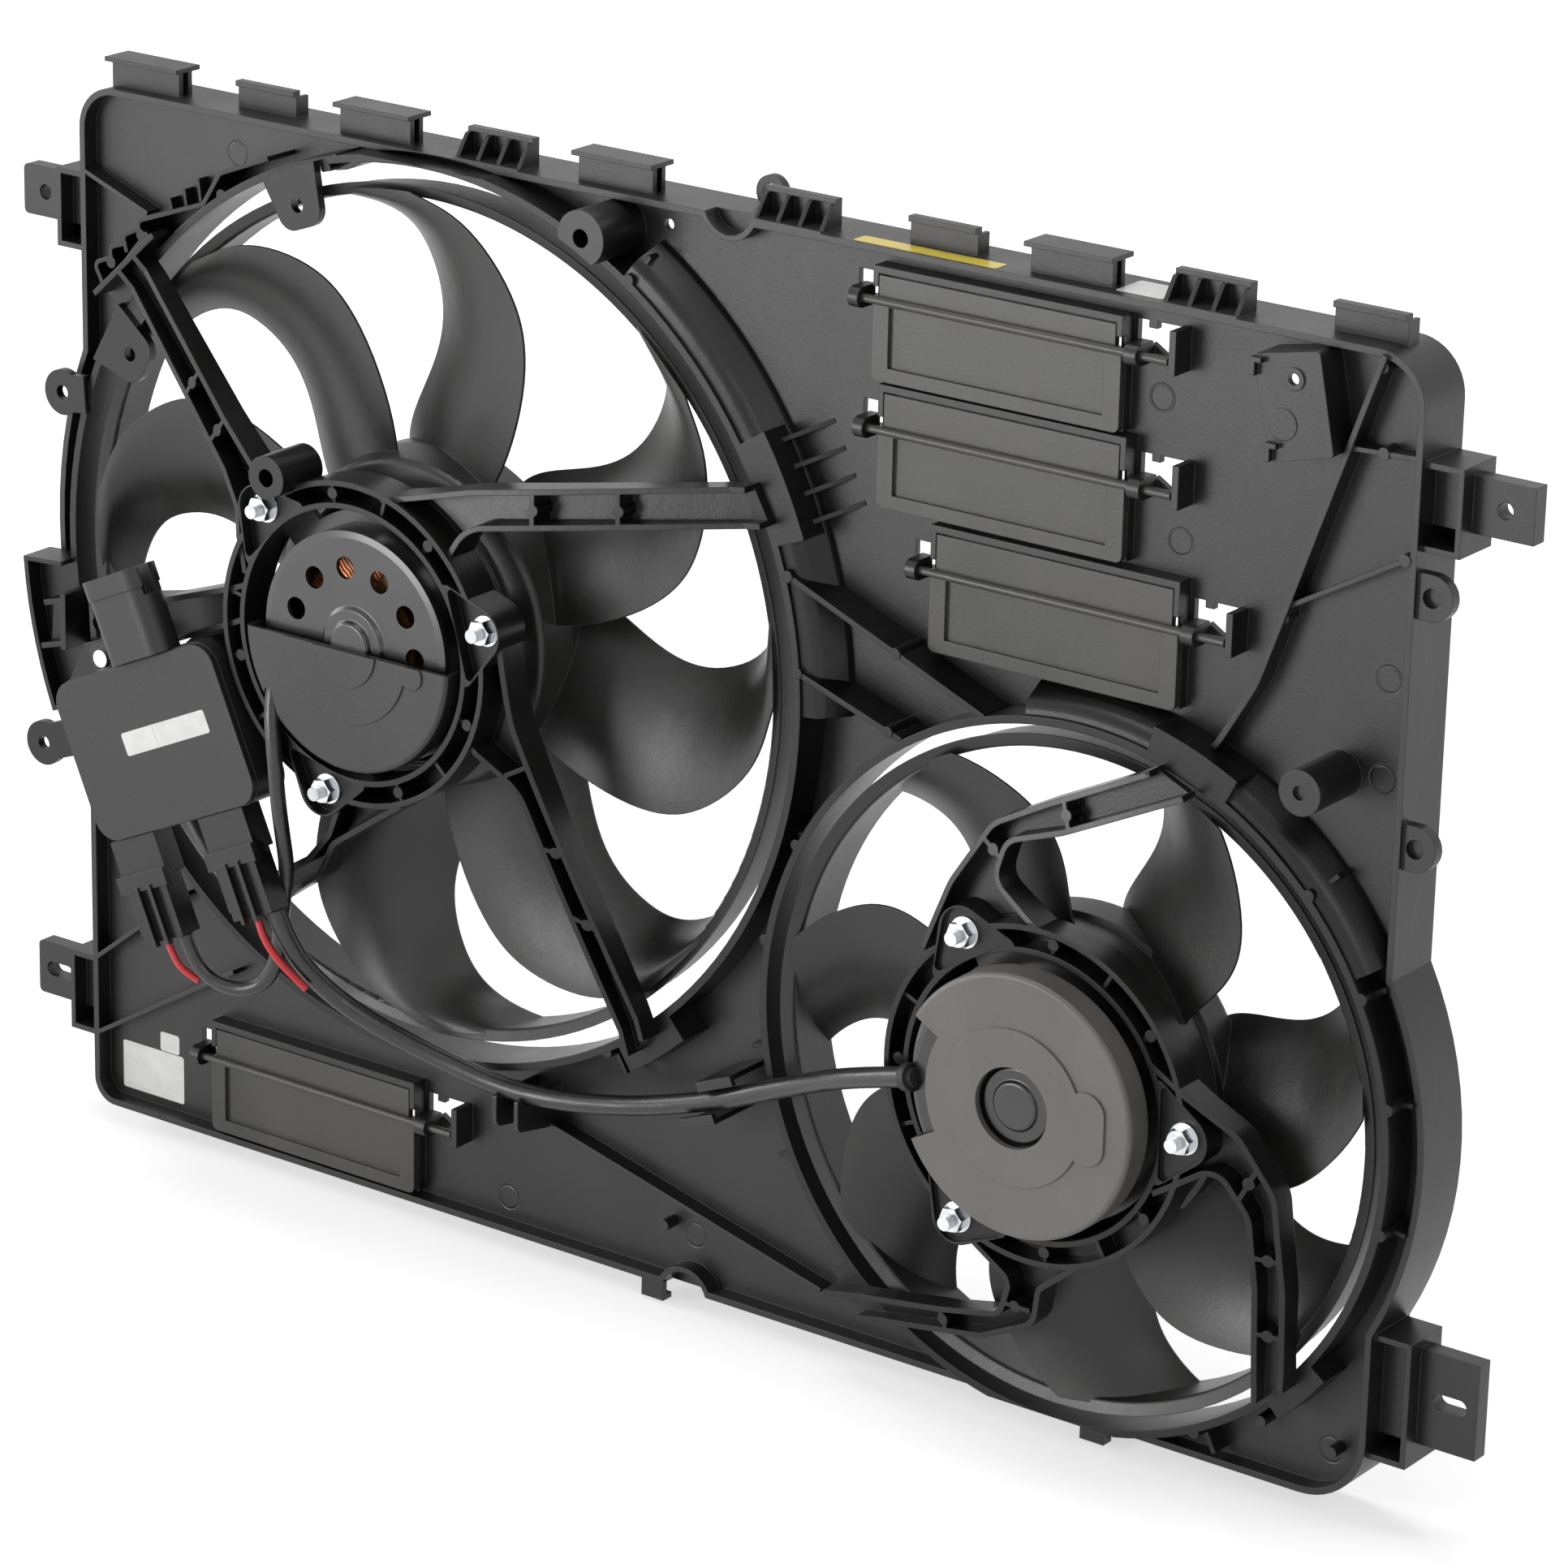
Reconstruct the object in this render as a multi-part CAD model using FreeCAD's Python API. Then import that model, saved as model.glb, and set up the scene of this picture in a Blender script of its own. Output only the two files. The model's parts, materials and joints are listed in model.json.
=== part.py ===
import FreeCAD, Part
import math
import os

V = FreeCAD.Vector

# Twin fan shroud of a vehicle radiator, seen from the engine side.
# It is drawn with x to the right and z up from the lower left corner of the rim,
# and y as the depth behind the rim's front edge, all in millimetres.
# The saved pieces are moved so that the midpoint between the two upper ear holes is the origin.

# Shroud moulding
WIDTH = 690.0
HEIGHT = 485.0
RIM_DEPTH = 30.0
RIM_WALL = 3.0
PANEL_FRONT = 8.0
PANEL_BACK = 11.0
CORNERS = ((0, 0, 12), (WIDTH, 0, 30), (WIDTH, HEIGHT, 22), (0, HEIGHT, 20))
RIB = 2.5
WEB = 2.5
PIN_RADIUS = 2.6

# Fan axes and the ducts round the fans
LEFT_AXIS = (203.5, 280.7)
RIGHT_AXIS = (544.5, 154.2)
DUCT_FRONT = -10.0
DUCT_BACK = 15.0
DUCT_WALL = 3.5
LEFT_DUCT = 204.0
RIGHT_DUCT = 154.5
LEFT_BULGE = 219.5
RIGHT_BULGE = 164.5
ARM_END = -20.0

# Bosses on the panel: place, radius, front depth, bore radius and bore depth
BOSSES = (((298.0, 469.0), 12.0, -21.0, 4.0, 20.0), ((657.0, 308.5), 9.5, -23.0, 3.0, 2.0))

# Ears that carry the shroud
EAR_HOLE_X = 31.2
EAR_Y = 11.0
EAR_THICK = 8.0
UPPER_EAR_Z = 428.0
LOWER_EAR_Z = 53.0
EAR_HOLE = 3.5
SLOT_LENGTH = 16.0

# Motors, and the studs and nuts that hold them
STUD_CIRCLE = 72.4
STUD = 3.0
NUT_ACROSS = 10.0
SHAFT = 4.0
RUNNING_GAP = 0.03
BUSH = 8.0

# Flaps that open at speed
FLAP_WIDTH = 120.0
ROD = 1.8
ROD_Y = -1.6
ROD_ROOM = 0.1
LINTEL = 3.0
SHOULDER = 1.0            # height of the lid's shoulders over the rod
SHOULDER_ROOM = 5.4       # clear height over the rod for the lid's shoulders
LEDGE = 3.1               # front of the frame's low side walls
FRAME = 2.5
FLAPS = {                 # left side, bottom, top and rod height
    "flap_1": (432.0, HEIGHT - 56.0, HEIGHT - 8.0, HEIGHT - 22.0),
    "flap_2": (436.0, HEIGHT - 109.0, HEIGHT - 57.0, HEIGHT - 76.0),
    "flap_3": (464.0, HEIGHT - 165.0, HEIGHT - 111.0, HEIGHT - 131.0),
    "flap_4": (73.0, 4.5, 58.0, 40.0),
}

SHROUD = {
    "left": {
        "axis": LEFT_AXIS, "duct": LEFT_DUCT, "carrier": (-56.0, -38.0), "outer": 72.5, "inner": 60.2,
        "seat": -50.0, "ears": (16.0, 136.0, 256.0), "ear_radius": 13.0,
        "front_line": ((75, -54), (198, ARM_END)), "back_line": ((82, -38), (193, -11)), "end": 222.0,
    },
    "right": {
        "axis": RIGHT_AXIS, "duct": RIGHT_DUCT, "carrier": (-33.0, -19.0), "outer": 73.7, "inner": 61.5,
        "seat": -30.5, "ears": (0.5, 120.5, 240.5), "ear_radius": 13.0,
        "front_line": ((75, -33), (150, ARM_END)), "back_line": ((82, -19), (147, -11)), "end": 172.0,
    },
}

MOTOR = {
    "left": {"cap": -54.0, "back": -4.0, "can": 50.0, "cap_radius": 47.0, "dome": 4.0, "hub_back": 15.0},
    "right": {"cap": -43.5, "back": 2.0, "can": 52.0, "cap_radius": 50.0, "dome": 2.5, "hub_back": 20.0},
}

# Fans: blade edges are given as (radius, degrees past the blade's own angle)
FAN = {
    "left": {
        "band": 191.5, "band_wall": 3.0, "band_lip": 2.5, "front": -7.0, "back": 15.0,
        "blades": (13.8, 64.0, 105.0, 145.0, 193.0, 241.5, 283.5, 332.0),
        "leading": ((75, -3.5), (100, -2.9), (125, 0.0), (150, 4.8), (175, 15.4), (190, 27.7)),
        "trailing": ((75, 44.0), (100, 35.2), (125, 28.8), (150, 29.3), (175, 35.7), (190, 47.7)),
        "planes": (62.0, 95.0, 125.0, 150.0, 170.0, 183.0, 194.0),
        "root": 74.0, "tip": 189.0, "thickness": 3.2,
        "hub": ((59, -24, 1), (62, -24, 1), (62.5, -20), (73, -17, 4), (76.5, 0), (76.5, 12, 3), (73, 15)),
        "hub_bore": 59.0, "hub_wall": 3.0,
    },
    "right": {
        "band": 146.0, "band_wall": 3.0, "band_lip": 3.0, "front": -7.0, "back": 20.0,
        "blades": (-10.0, 43.5, 98.0, 151.0, 201.0, 253.0, 301.0),
        "leading": ((70, -9.7), (110, 0.0), (125, 7.7), (137, 14.7), (150, 23.0)),
        "trailing": ((70, 39.1), (110, 33.7), (125, 35.5), (137, 38.7), (150, 43.0)),
        "planes": (58.0, 82.0, 105.0, 122.0, 134.0, 143.0, 151.0),
        "root": 68.0, "tip": 142.0, "thickness": 3.0,
        "hub": ((66, -13, 1), (68, -13, 1), (68, 0), (70.5, 1), (71.5, 16, 4), (67, 20)),
        "hub_bore": 64.5, "hub_wall": 3.0,
    },
}

# Fan control module, drawn square about its middle and then tilted
MODULE = (95.0, 213.6)
MODULE_TILT = 24.4
MODULE_WIDTH = 100.5
MODULE_HEIGHT = 74.0
MODULE_FRONT = -62.0
MODULE_BACK = -41.0
LID_EDGE = 3.0
HEADER_BACK = -48.0
PLUG_BACK = -48.3
MODULE_LUGS = ((-55.0, 22.0), (-30.0, 42.0))
SCREW = 2.0

# Boss of the left carrier, lugs and root box of the left duct, and features of the panel
CARRIER_BOSS = (164.8, 350.0)
BOSS_FRONT = -66.0
HUNG_LUGS = (110.5, 151.0)
OUTER_LUGS = (((-1.0, 345.5), 161.0), ((-16.3, 176.0), 206.5))
ROOT_BOX = (184.0, 202.0)
BOX_FRONT = -8.0
BOX_HOLE = (636.4, 468.7)
SIDE_LUGS = ((WIDTH + 6.5, 390.0), (WIDTH + 5.5, 287.0))
TOP_RING = (362.0, HEIGHT + 5.5)
TOP_NOTCH = (358.0, HEIGHT + 4.0)
BOTTOM_NOTCH = (345.0, -4.0)
NOTCH_RADIUS = 12.5

# Leads of the motors and wires of the plugs as (x, depth, z) places, and the room round a lead
LEAD_RADIUS = 4.5
LEFT_LEAD_RADIUS = 3.5
WIRE = 1.8
LEAD_ROOM = 0.3
RIGHT_LEAD = ((157.7, -53, 147.9), (163, -52, 134), (172, -45, 117), (190, -34, 100), (222, -22.5, 86),
              (264, -15, 76), (318, -14, 84), (371, -15, 101), (420, -22, 124), (460, -38, 143), (490, -44, 152.5))
LEFT_LEAD = ((104.9, -53, 123.9), (108.5, -52, 112), (117.5, -49, 103), (130, -45, 100.5), (141.5, -42, 106),
             (148.5, -42, 117.5), (151.5, -43, 132), (154, -44, 148), (158.3, -45.8, 165), (161, -52, 183),
             (164.5, -59, 202), (164.5, -61, 221), (162, -60, 238), (160, -57.2, 247), (160.2, -56.5, 252.5))
WIRES = (((151.4, -58, 145), (154.7, -59, 137.7), (161, -58, 129), (168, -55, 121), (174, -51.5, 114.5)),
         ((94, -53, 119), (97.3, -53, 111.7), (103, -52.5, 105.5), (110, -50, 102)))

NODES = []


def outline(corners, place):
    """A closed outline through (u, v) or (u, v, radius) corners, each radius a tangent arc."""
    turns = []
    points = [place(corner[0], corner[1]) for corner in corners]
    for i, here in enumerate(points):
        radius = corners[i][2] if len(corners[i]) > 2 else 0
        if radius <= 0:
            turns.append((here, None, here))
            continue
        into = (points[i - 1] - here).normalize()
        out = (points[(i + 1) % len(points)] - here).normalize()
        half = into.getAngle(out) / 2
        centre = here + (into + out).normalize() * (radius / math.sin(half))
        cut = radius / math.tan(half)
        middle = centre + (here - centre).normalize() * radius
        turns.append((here + into * cut, middle, here + out * cut))
    edges = []
    for i, (start, middle, end) in enumerate(turns):
        previous = turns[i - 1][2]
        if previous.distanceToPoint(start) > 1e-4:
            edges.append(Part.makeLine(previous, start))
        if middle is not None:
            edges.append(Part.Arc(start, middle, end).toShape())
    return Part.Face(Part.Wire(edges))


def plate(corners, front, back):
    """A straight-sided piece with the outline seen from the front, between two depths."""
    return outline(corners, lambda u, v: V(u, front, v)).extrude(V(0, back - front, 0))


def pad(x, z, half_width, half_height, radius, front, back):
    """A rectangular plate with rounded corners about a place."""
    signs = ((-1, -1), (1, -1), (1, 1), (-1, 1))
    return plate([(x + half_width * u, z + half_height * v, radius) for u, v in signs], front, back)


def slab(corners, left, right):
    """A piece with the outline given as (depth, height), between two x places."""
    return outline(corners, lambda u, v: V(left, u, v)).extrude(V(right - left, 0, 0))


def block(x0, x1, z0, z1, front, back):
    return Part.makeBox(x1 - x0, back - front, z1 - z0, V(x0, front, z0))


def disc(axis, radius, front, back):
    return Part.makeCylinder(radius, back - front, V(axis[0], front, axis[1]), V(0, 1, 0))


def ring(axis, outer, inner, front, back):
    return disc(axis, outer, front, back).cut(disc(axis, inner, front - 1, back + 1))


def lathe(axis, corners, start=0.0, sweep=360.0):
    """A turned piece from a (radius, depth) outline, from a start angle over a sweep."""
    face = outline(corners, lambda u, v: V(axis[0] + u, v, axis[1]))
    return turned(face.revolve(V(axis[0], 0, axis[1]), V(0, -1, 0), sweep), axis, start)


def turned(shape, axis, degrees):
    """The shape turned about a fan axis, counter-clockwise as seen from the front."""
    moved = shape.copy()
    moved.rotate(V(axis[0], 0, axis[1]), V(0, -1, 0), degrees)
    return moved


def at(axis, radius, degrees):
    """The (x, z) place at a radius and an angle round an axis."""
    angle = math.radians(degrees)
    return (axis[0] + radius * math.cos(angle), axis[1] + radius * math.sin(angle))


def rib(path, thickness, front, back):
    """A wall of even thickness along a path of (x, z) or (x, z, radius) places."""
    half = thickness / 2
    sides = ([], [])
    for i, place in enumerate(path):
        before = path[max(i - 1, 0)]
        after = path[min(i + 1, len(path) - 1)]
        incoming = math.atan2(place[1] - before[1], place[0] - before[0])
        outgoing = math.atan2(after[1] - place[1], after[0] - place[0])
        if i == 0:
            incoming = outgoing
        if i == len(path) - 1:
            outgoing = incoming
        turn = (outgoing - incoming + math.pi) % (2 * math.pi) - math.pi
        mean = incoming + turn / 2
        reach = half / math.cos(turn / 2)
        radius = place[2] if len(place) > 2 else 0
        for side, sign in zip(sides, (1, -1)):
            bend = radius - sign * math.copysign(half, turn) if radius else 0
            side.append((place[0] - sign * reach * math.sin(mean), place[1] + sign * reach * math.cos(mean), bend))
    return plate(sides[0] + sides[1][::-1], front, back)


def spoke(axis, degrees, inner, outer, thickness, front, back):
    """A straight radial wall."""
    return rib([at(axis, inner, degrees), at(axis, outer, degrees)], thickness, front, back)


def fin(axis, degrees, shift, inner, outer, thickness, front, back=PANEL_FRONT):
    """A wedge-shaped wall that falls from the front depth at its inner end to the panel."""
    face = outline([(inner, front), (outer, back), (inner, back)],
                   lambda u, v: V(axis[0] + u, v, axis[1] + shift - thickness / 2))
    return turned(face.extrude(V(0, 0, thickness)), axis, degrees)


def tube(points, radius):
    """A round lead along straight runs joined by tangent arcs as large as the runs allow."""
    places = [V(*point) for point in points]
    bends = []
    for before, here, after in zip(places, places[1:], places[2:]):
        into = (before - here).normalize()
        out = (after - here).normalize()
        half = into.getAngle(out) / 2
        cut = 0.45 * min(here.distanceToPoint(before), here.distanceToPoint(after))
        bend = cut * math.tan(half)
        centre = here + (into + out).normalize() * (bend / math.sin(half))
        bends.append((here + into * cut, centre + (here - centre).normalize() * bend, here + out * cut))
    edges = []
    start = places[0]
    for first, middle, last in bends:
        edges.append(Part.makeLine(start, first))
        edges.append(Part.Arc(first, middle, last).toShape())
        start = last
    edges.append(Part.makeLine(start, places[-1]))
    path = Part.Wire(edges)
    direction = (places[1] - places[0]).normalize()
    section = Part.Wire(Part.makeCircle(radius, places[0], direction))
    return path.makePipeShell([section], True, False)


def fused(shapes):
    return shapes[0].fuse(shapes[1:]) if len(shapes) > 1 else shapes[0]


def save(name, shape):
    """Write one piece, its flush faces merged, moved to the part's own origin."""
    placed = shape.removeSplitter()
    placed.translate(V(-WIDTH / 2, -EAR_Y, -UPPER_EAR_Z))
    placed.exportStep("parts/" + name + ".step")
    solids = len(placed.Solids)
    NODES.append(name)
    print(name, "solids", solids, "valid", placed.isValid(), "volume", round(placed.Volume))


# Shroud panel

def envelope(inset, front, back):
    """The shroud's outline with the bulges round the ducts, moved in by the inset."""
    corners = []
    for x, z, radius in CORNERS:
        inside_x = x + inset if x == 0 else x - inset
        inside_z = z + inset if z == 0 else z - inset
        corners.append((inside_x, inside_z, radius - inset))
    limits = block(-100, WIDTH + 100, inset, HEIGHT - inset, front, back)
    bulges = [disc(LEFT_AXIS, LEFT_BULGE - inset, front, back).common(limits),
              disc(RIGHT_AXIS, RIGHT_BULGE - inset, front, back).common(limits)]
    return plate(corners, front, back).fuse(bulges)


def ears():
    """The four ears: an open box bracket on the rim's side with a flag plate that has the hole."""
    pieces = []
    holes = []
    for side, edge, inward in (("left", 0.0, 1), ("right", WIDTH, -1)):
        hole_x = edge - inward * EAR_HOLE_X
        lower_half = 13.0 if side == "left" else 21.0
        for z, half, slotted in ((UPPER_EAR_Z, 11.5, False), (LOWER_EAR_Z, lower_half, True)):
            outer_x = hole_x - inward * 13.0
            low, high = sorted((outer_x, edge + inward * RIM_WALL / 2))
            flag = [(low, z - half, 2.5), (high, z - half), (high, z + half), (low, z + half, 2.5)]
            pieces.append(plate(flag, EAR_Y, EAR_Y + EAR_THICK))
            box_x = edge - inward * 17.0
            low, high = sorted((box_x, edge + inward * RIM_WALL / 2))
            shell = block(low, high, z - half - 9, z + half + 4, 3, 27)
            inside_low, inside_high = sorted((box_x + inward * RIB, edge + inward * RIM_WALL / 2))
            hollow = block(inside_low, inside_high, z - half - 9 + RIB, z + half + 4 - RIB, 0, 27 - RIB)
            pieces.append(shell.cut(hollow))
            if slotted:
                left, right = hole_x - SLOT_LENGTH / 2, hole_x + SLOT_LENGTH / 2
                bend = EAR_HOLE - 0.01
                slot = [(left, z - EAR_HOLE, bend), (right, z - EAR_HOLE, bend),
                        (right, z + EAR_HOLE, bend), (left, z + EAR_HOLE, bend)]
                holes.append(plate(slot, EAR_Y - 1, EAR_Y + EAR_THICK + 1))
            else:
                holes.append(disc((hole_x, z), EAR_HOLE, EAR_Y - 1, EAR_Y + EAR_THICK + 1))
    return pieces, holes


def top_clips():
    """The clips, hooks and ribbed brackets that stand on the top flange."""
    pieces = []
    for x in (14.0, 145.0, 275.0, 503.0):
        pieces.append(block(x, x + 39, HEIGHT - 1, HEIGHT + 11, 7, 9.5))
        pieces.append(block(x, x + 39, HEIGHT - 1, HEIGHT + 11, 13, 15.5))
        pieces.append(block(x - 1.5, x + 40.5, HEIGHT + 11, HEIGHT + 13, 3.5, 19))
    for x in (83.0, 441.0, 641.0):
        pieces.append(block(x, x + 33, HEIGHT - 1, HEIGHT + 11, 12, 14.5))
        pieces.append(block(x, x + 33, HEIGHT + 9.5, HEIGHT + 12, 10, 14.5))
        pieces.append(block(x + 31, x + 33, HEIGHT - 1, HEIGHT + 9, 12, 20))
    for x in (213.0, 370.0, 569.0):
        pieces.append(block(x, x + 35, HEIGHT - 2, HEIGHT + 12, 12, 14.5))
        pieces.append(block(x, x + 35, HEIGHT - 2, HEIGHT + 1, 0, 14.5))
        pieces.append(block(x, x + 35, HEIGHT + 10.5, HEIGHT + 12.5, 10, 14.5))
        for shift in (0, 11, 22, 33):
            gusset = [(1.0, HEIGHT), (12.5, HEIGHT), (12.5, HEIGHT + 11), (8.0, HEIGHT + 10)]
            pieces.append(slab(gusset, x + shift, x + shift + 2))
    return pieces


def flap_frame(x, bottom, top, rod_z):
    """The raised frame of one flap, its hook, its loop and its stop, and the holes beside them."""
    right = x + FLAP_WIDTH
    pieces = [block(x, right, top - LINTEL, top, -0.5, PANEL_FRONT + 1),
              block(x, right, bottom, bottom + FRAME, LEDGE, PANEL_FRONT + 1)]
    for side_x in (x, right - FRAME):
        pieces.append(block(side_x, side_x + FRAME, bottom, top, LEDGE, PANEL_FRONT + 1))
        pieces.append(block(side_x, side_x + FRAME, rod_z + SHOULDER_ROOM, top, -0.5, PANEL_FRONT + 1))
    opening = block(x + FRAME, right - FRAME, bottom + FRAME, top - LINTEL, PANEL_FRONT - 1, PANEL_BACK + 1)
    bore = Part.makeCylinder(ROD + ROD_ROOM, FLAP_WIDTH + 60, V(x - 20, ROD_Y, rod_z), V(1, 0, 0))
    reach = ROD + 2.6
    for low, high in ((x - 9, x - 4), (right + 4, right + 10)):
        eye = Part.makeCylinder(reach, high - low, V(low, ROD_Y, rod_z), V(1, 0, 0))
        foot = block(low, high, rod_z - reach, rod_z + reach, ROD_Y, PANEL_FRONT + 1)
        pieces.append(eye.fuse(foot).cut(bore))
    pieces.append(block(right + 24, right + 27, rod_z - 5, rod_z + 13, ROD_Y - 2, PANEL_FRONT + 1))
    stepped = [(2, 1), (9, 1), (9, 3), (19, -3), (22, -3), (22, 12), (11, 12), (11, 9), (7, 9), (7, 12),
               (2, 12)]
    window = plate([(right + across, rod_z + up) for across, up in stepped], PANEL_FRONT - 1, PANEL_BACK + 1)
    other = block(x - 13, x - 3, rod_z - 1, rod_z + 9, PANEL_FRONT - 1, PANEL_BACK + 1)
    return pieces, [opening, window, other]


def shroud_panel():
    wall = envelope(0, 0, RIM_DEPTH).cut(envelope(RIM_WALL, -1, RIM_DEPTH + 1))
    sheet = envelope(RIM_WALL / 2, PANEL_FRONT, PANEL_BACK)
    holes = [disc(LEFT_AXIS, LEFT_DUCT, PANEL_FRONT - 1, PANEL_BACK + 1),
             disc(RIGHT_AXIS, RIGHT_DUCT, PANEL_FRONT - 1, PANEL_BACK + 1)]
    pieces = []
    ear_pieces, ear_holes = ears()
    pieces += ear_pieces
    for place in FLAPS.values():
        frame_pieces, frame_holes = flap_frame(*place)
        pieces += frame_pieces
        holes += frame_holes
    body = wall.fuse([sheet] + pieces + top_clips())
    body = body.cut(holes + ear_holes)
    notches = [disc(place, NOTCH_RADIUS, -1, PANEL_FRONT) for place in (TOP_NOTCH, BOTTOM_NOTCH)]
    body = body.cut(notches)
    extras = []
    # hose saddles behind the notches in the top and bottom edges
    for centre, low, high in ((TOP_NOTCH, HEIGHT - 20, HEIGHT), (BOTTOM_NOTCH, 0, 16)):
        saddle = ring(centre, NOTCH_RADIUS + RIB, NOTCH_RADIUS, 0, RIM_DEPTH)
        extras.append(saddle.common(block(300, 400, low, high, 0, RIM_DEPTH)))
    # bosses for hoses and pipes in front of the panel
    for place, radius, front, bore, depth in BOSSES:
        boss = disc(place, radius, front, PANEL_FRONT + 1)
        if place[1] > HEIGHT - radius:
            boss = boss.common(block(200, 400, 0, HEIGHT, front, PANEL_FRONT + 1))
        extras.append(boss.cut(disc(place, bore, front - 1, front + depth)))
    # tilted box bracket near the top right corner, open at the back
    box = [(627.2, 433.4, 2), (655.5, 440.7, 2), (647.0, 481.5, 2), (617.0, 475.5, 2)]
    pocket = [(629.7, 437.0), (651.7, 442.7), (644.3, 478.0), (620.6, 473.2)]
    extras.append(plate(box, BOX_FRONT, PANEL_FRONT + 1))
    extras.append(ring(BOX_HOLE, 4.6, 2.4, BOX_FRONT - 0.8, BOX_FRONT + 1))
    extras.append(disc((632.0, 449.8), 6.5, BOX_FRONT - 0.4, BOX_FRONT + 1))
    for x, z in ((617.5, 467.5), (626.0, 434.5)):
        extras.append(block(x, x + 2.2, z, z + 7.5, BOX_FRONT - 3, BOX_FRONT + 1))
        extras.append(block(x, x + 5.0, z + 5.5, z + 7.5, BOX_FRONT - 3, BOX_FRONT + 1))
    # stiffening ribs of the panel
    spine = [(672.0, 483.0), (622.0, 340.0, 60), (602.0, 306.0, 30), (588.0, 300.0)]
    extras.append(rib(spine, RIB, -2, PANEL_FRONT + 1))
    for path in ([(WIDTH - 32.5, 443.4), (WIDTH - 1.5, 444.6)], [(WIDTH - 56.3, 374.3), (WIDTH - 1.5, 405.5)],
                 [(2.0, 445.5), (39.5, 432.0)],
                 [(2.0, 71.5), (58.0, 116.0)], [(2.0, 34.0), (86.0, 84.5)], [(240.0, 66.0), (418.0, 21.0)]):
        extras.append(rib(path, 2.0, 0, PANEL_FRONT + 1))
    for place in ((WIDTH - 19.5, 478.0), (WIDTH - 17.0, 444.0), (WIDTH - 5.0, 403.5), (632.0, 369.5), (333.8, 28.1),
                  (640.4, 26.0), (674.4, 22.1)):
        extras.append(disc(place, PIN_RADIUS, -0.5, PANEL_FRONT + 1))
    # lugs on the outside of the right rim wall, each with a blind hole
    for x, z in SIDE_LUGS:
        lug = disc((x, z), 9.5, 2, 7).fuse(block(WIDTH - RIM_WALL / 2, x, z - 9.5, z + 9.5, 2, 7))
        extras.append(lug.cut(disc((x, z), 4.0, 1, 5)))
    # ring behind the top flange
    extras.append(disc(TOP_RING, 7.5, 24, 28).cut(disc(TOP_RING, 4.0, 23, 29)))
    # two cradles and two fingers that hold the right motor's lead
    held = tube(RIGHT_LEAD, LEAD_RADIUS + LEAD_ROOM)
    cradle = [(-23, 62, 4), (-23, 76.5, 1), (PANEL_FRONT + 1, 76.5), (PANEL_FRONT + 1, 56)]
    extras.append(fused([slab(cradle, x, x + 2.2) for x in (256.0, 268.0)]).cut(held))
    for root, lip in (([(366, 109.5), (384, 117.0)], [(366.8, 107.8), (384.8, 115.3)]),
                      ([(358, 88.0), (376, 95.0)], [(357.2, 89.8), (375.2, 96.8)])):
        extras.append(rib(root, 2.2, -22, PANEL_FRONT + 1).fuse(rib(lip, 3.0, -22, -19.5)))
    # hooks under the bottom edge
    for x in (322.0, 553.0):
        extras.append(block(x, x + 12, -6, 1, 0, 2.5).fuse(block(x, x + 12, -8, -5.5, 0, 6)))
    body = body.fuse(extras)
    under_arm = disc(RIGHT_AXIS, RIGHT_DUCT + 12, -30, PANEL_FRONT)
    under_arm = under_arm.common(block(560, 640, 280, 330, -30, PANEL_FRONT))
    body = body.cut([disc((322.0, 473.5), 2.5, 0, PANEL_BACK + 1),
                     disc(BOX_HOLE, 2.4, BOX_FRONT - 1, BOX_FRONT + 3),
                     plate(pocket, BOX_FRONT + 2, PANEL_BACK + 1),
                     disc(LEFT_AXIS, LEFT_DUCT, -30, PANEL_BACK + 1),
                     disc(RIGHT_AXIS, RIGHT_DUCT, -30, PANEL_BACK + 1), under_arm])
    save("shroud_panel", body)


# Ducts and motor carriers

def arm_limits(side, only_web=False):
    """The turned space that the arms fill between the carrier and the duct, or the web at its back."""
    data = SHROUD[side]
    inner = data["inner"] - 1
    (r0, front0), (r1, front1) = data["front_line"]
    (r2, back0), (r3, back1) = data["back_line"]
    end, duct_inside = data["end"], data["duct"] - DUCT_WALL
    if only_web:
        front0, front1 = back0 - WEB, back1 - WEB
    return lathe(data["axis"], [(inner, front0), (r0, front0), (r1, front1), (end, front1), (end, DUCT_FRONT),
                                (duct_inside, DUCT_FRONT), (r3, back1), (r2, back0), (inner, back0)])


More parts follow.
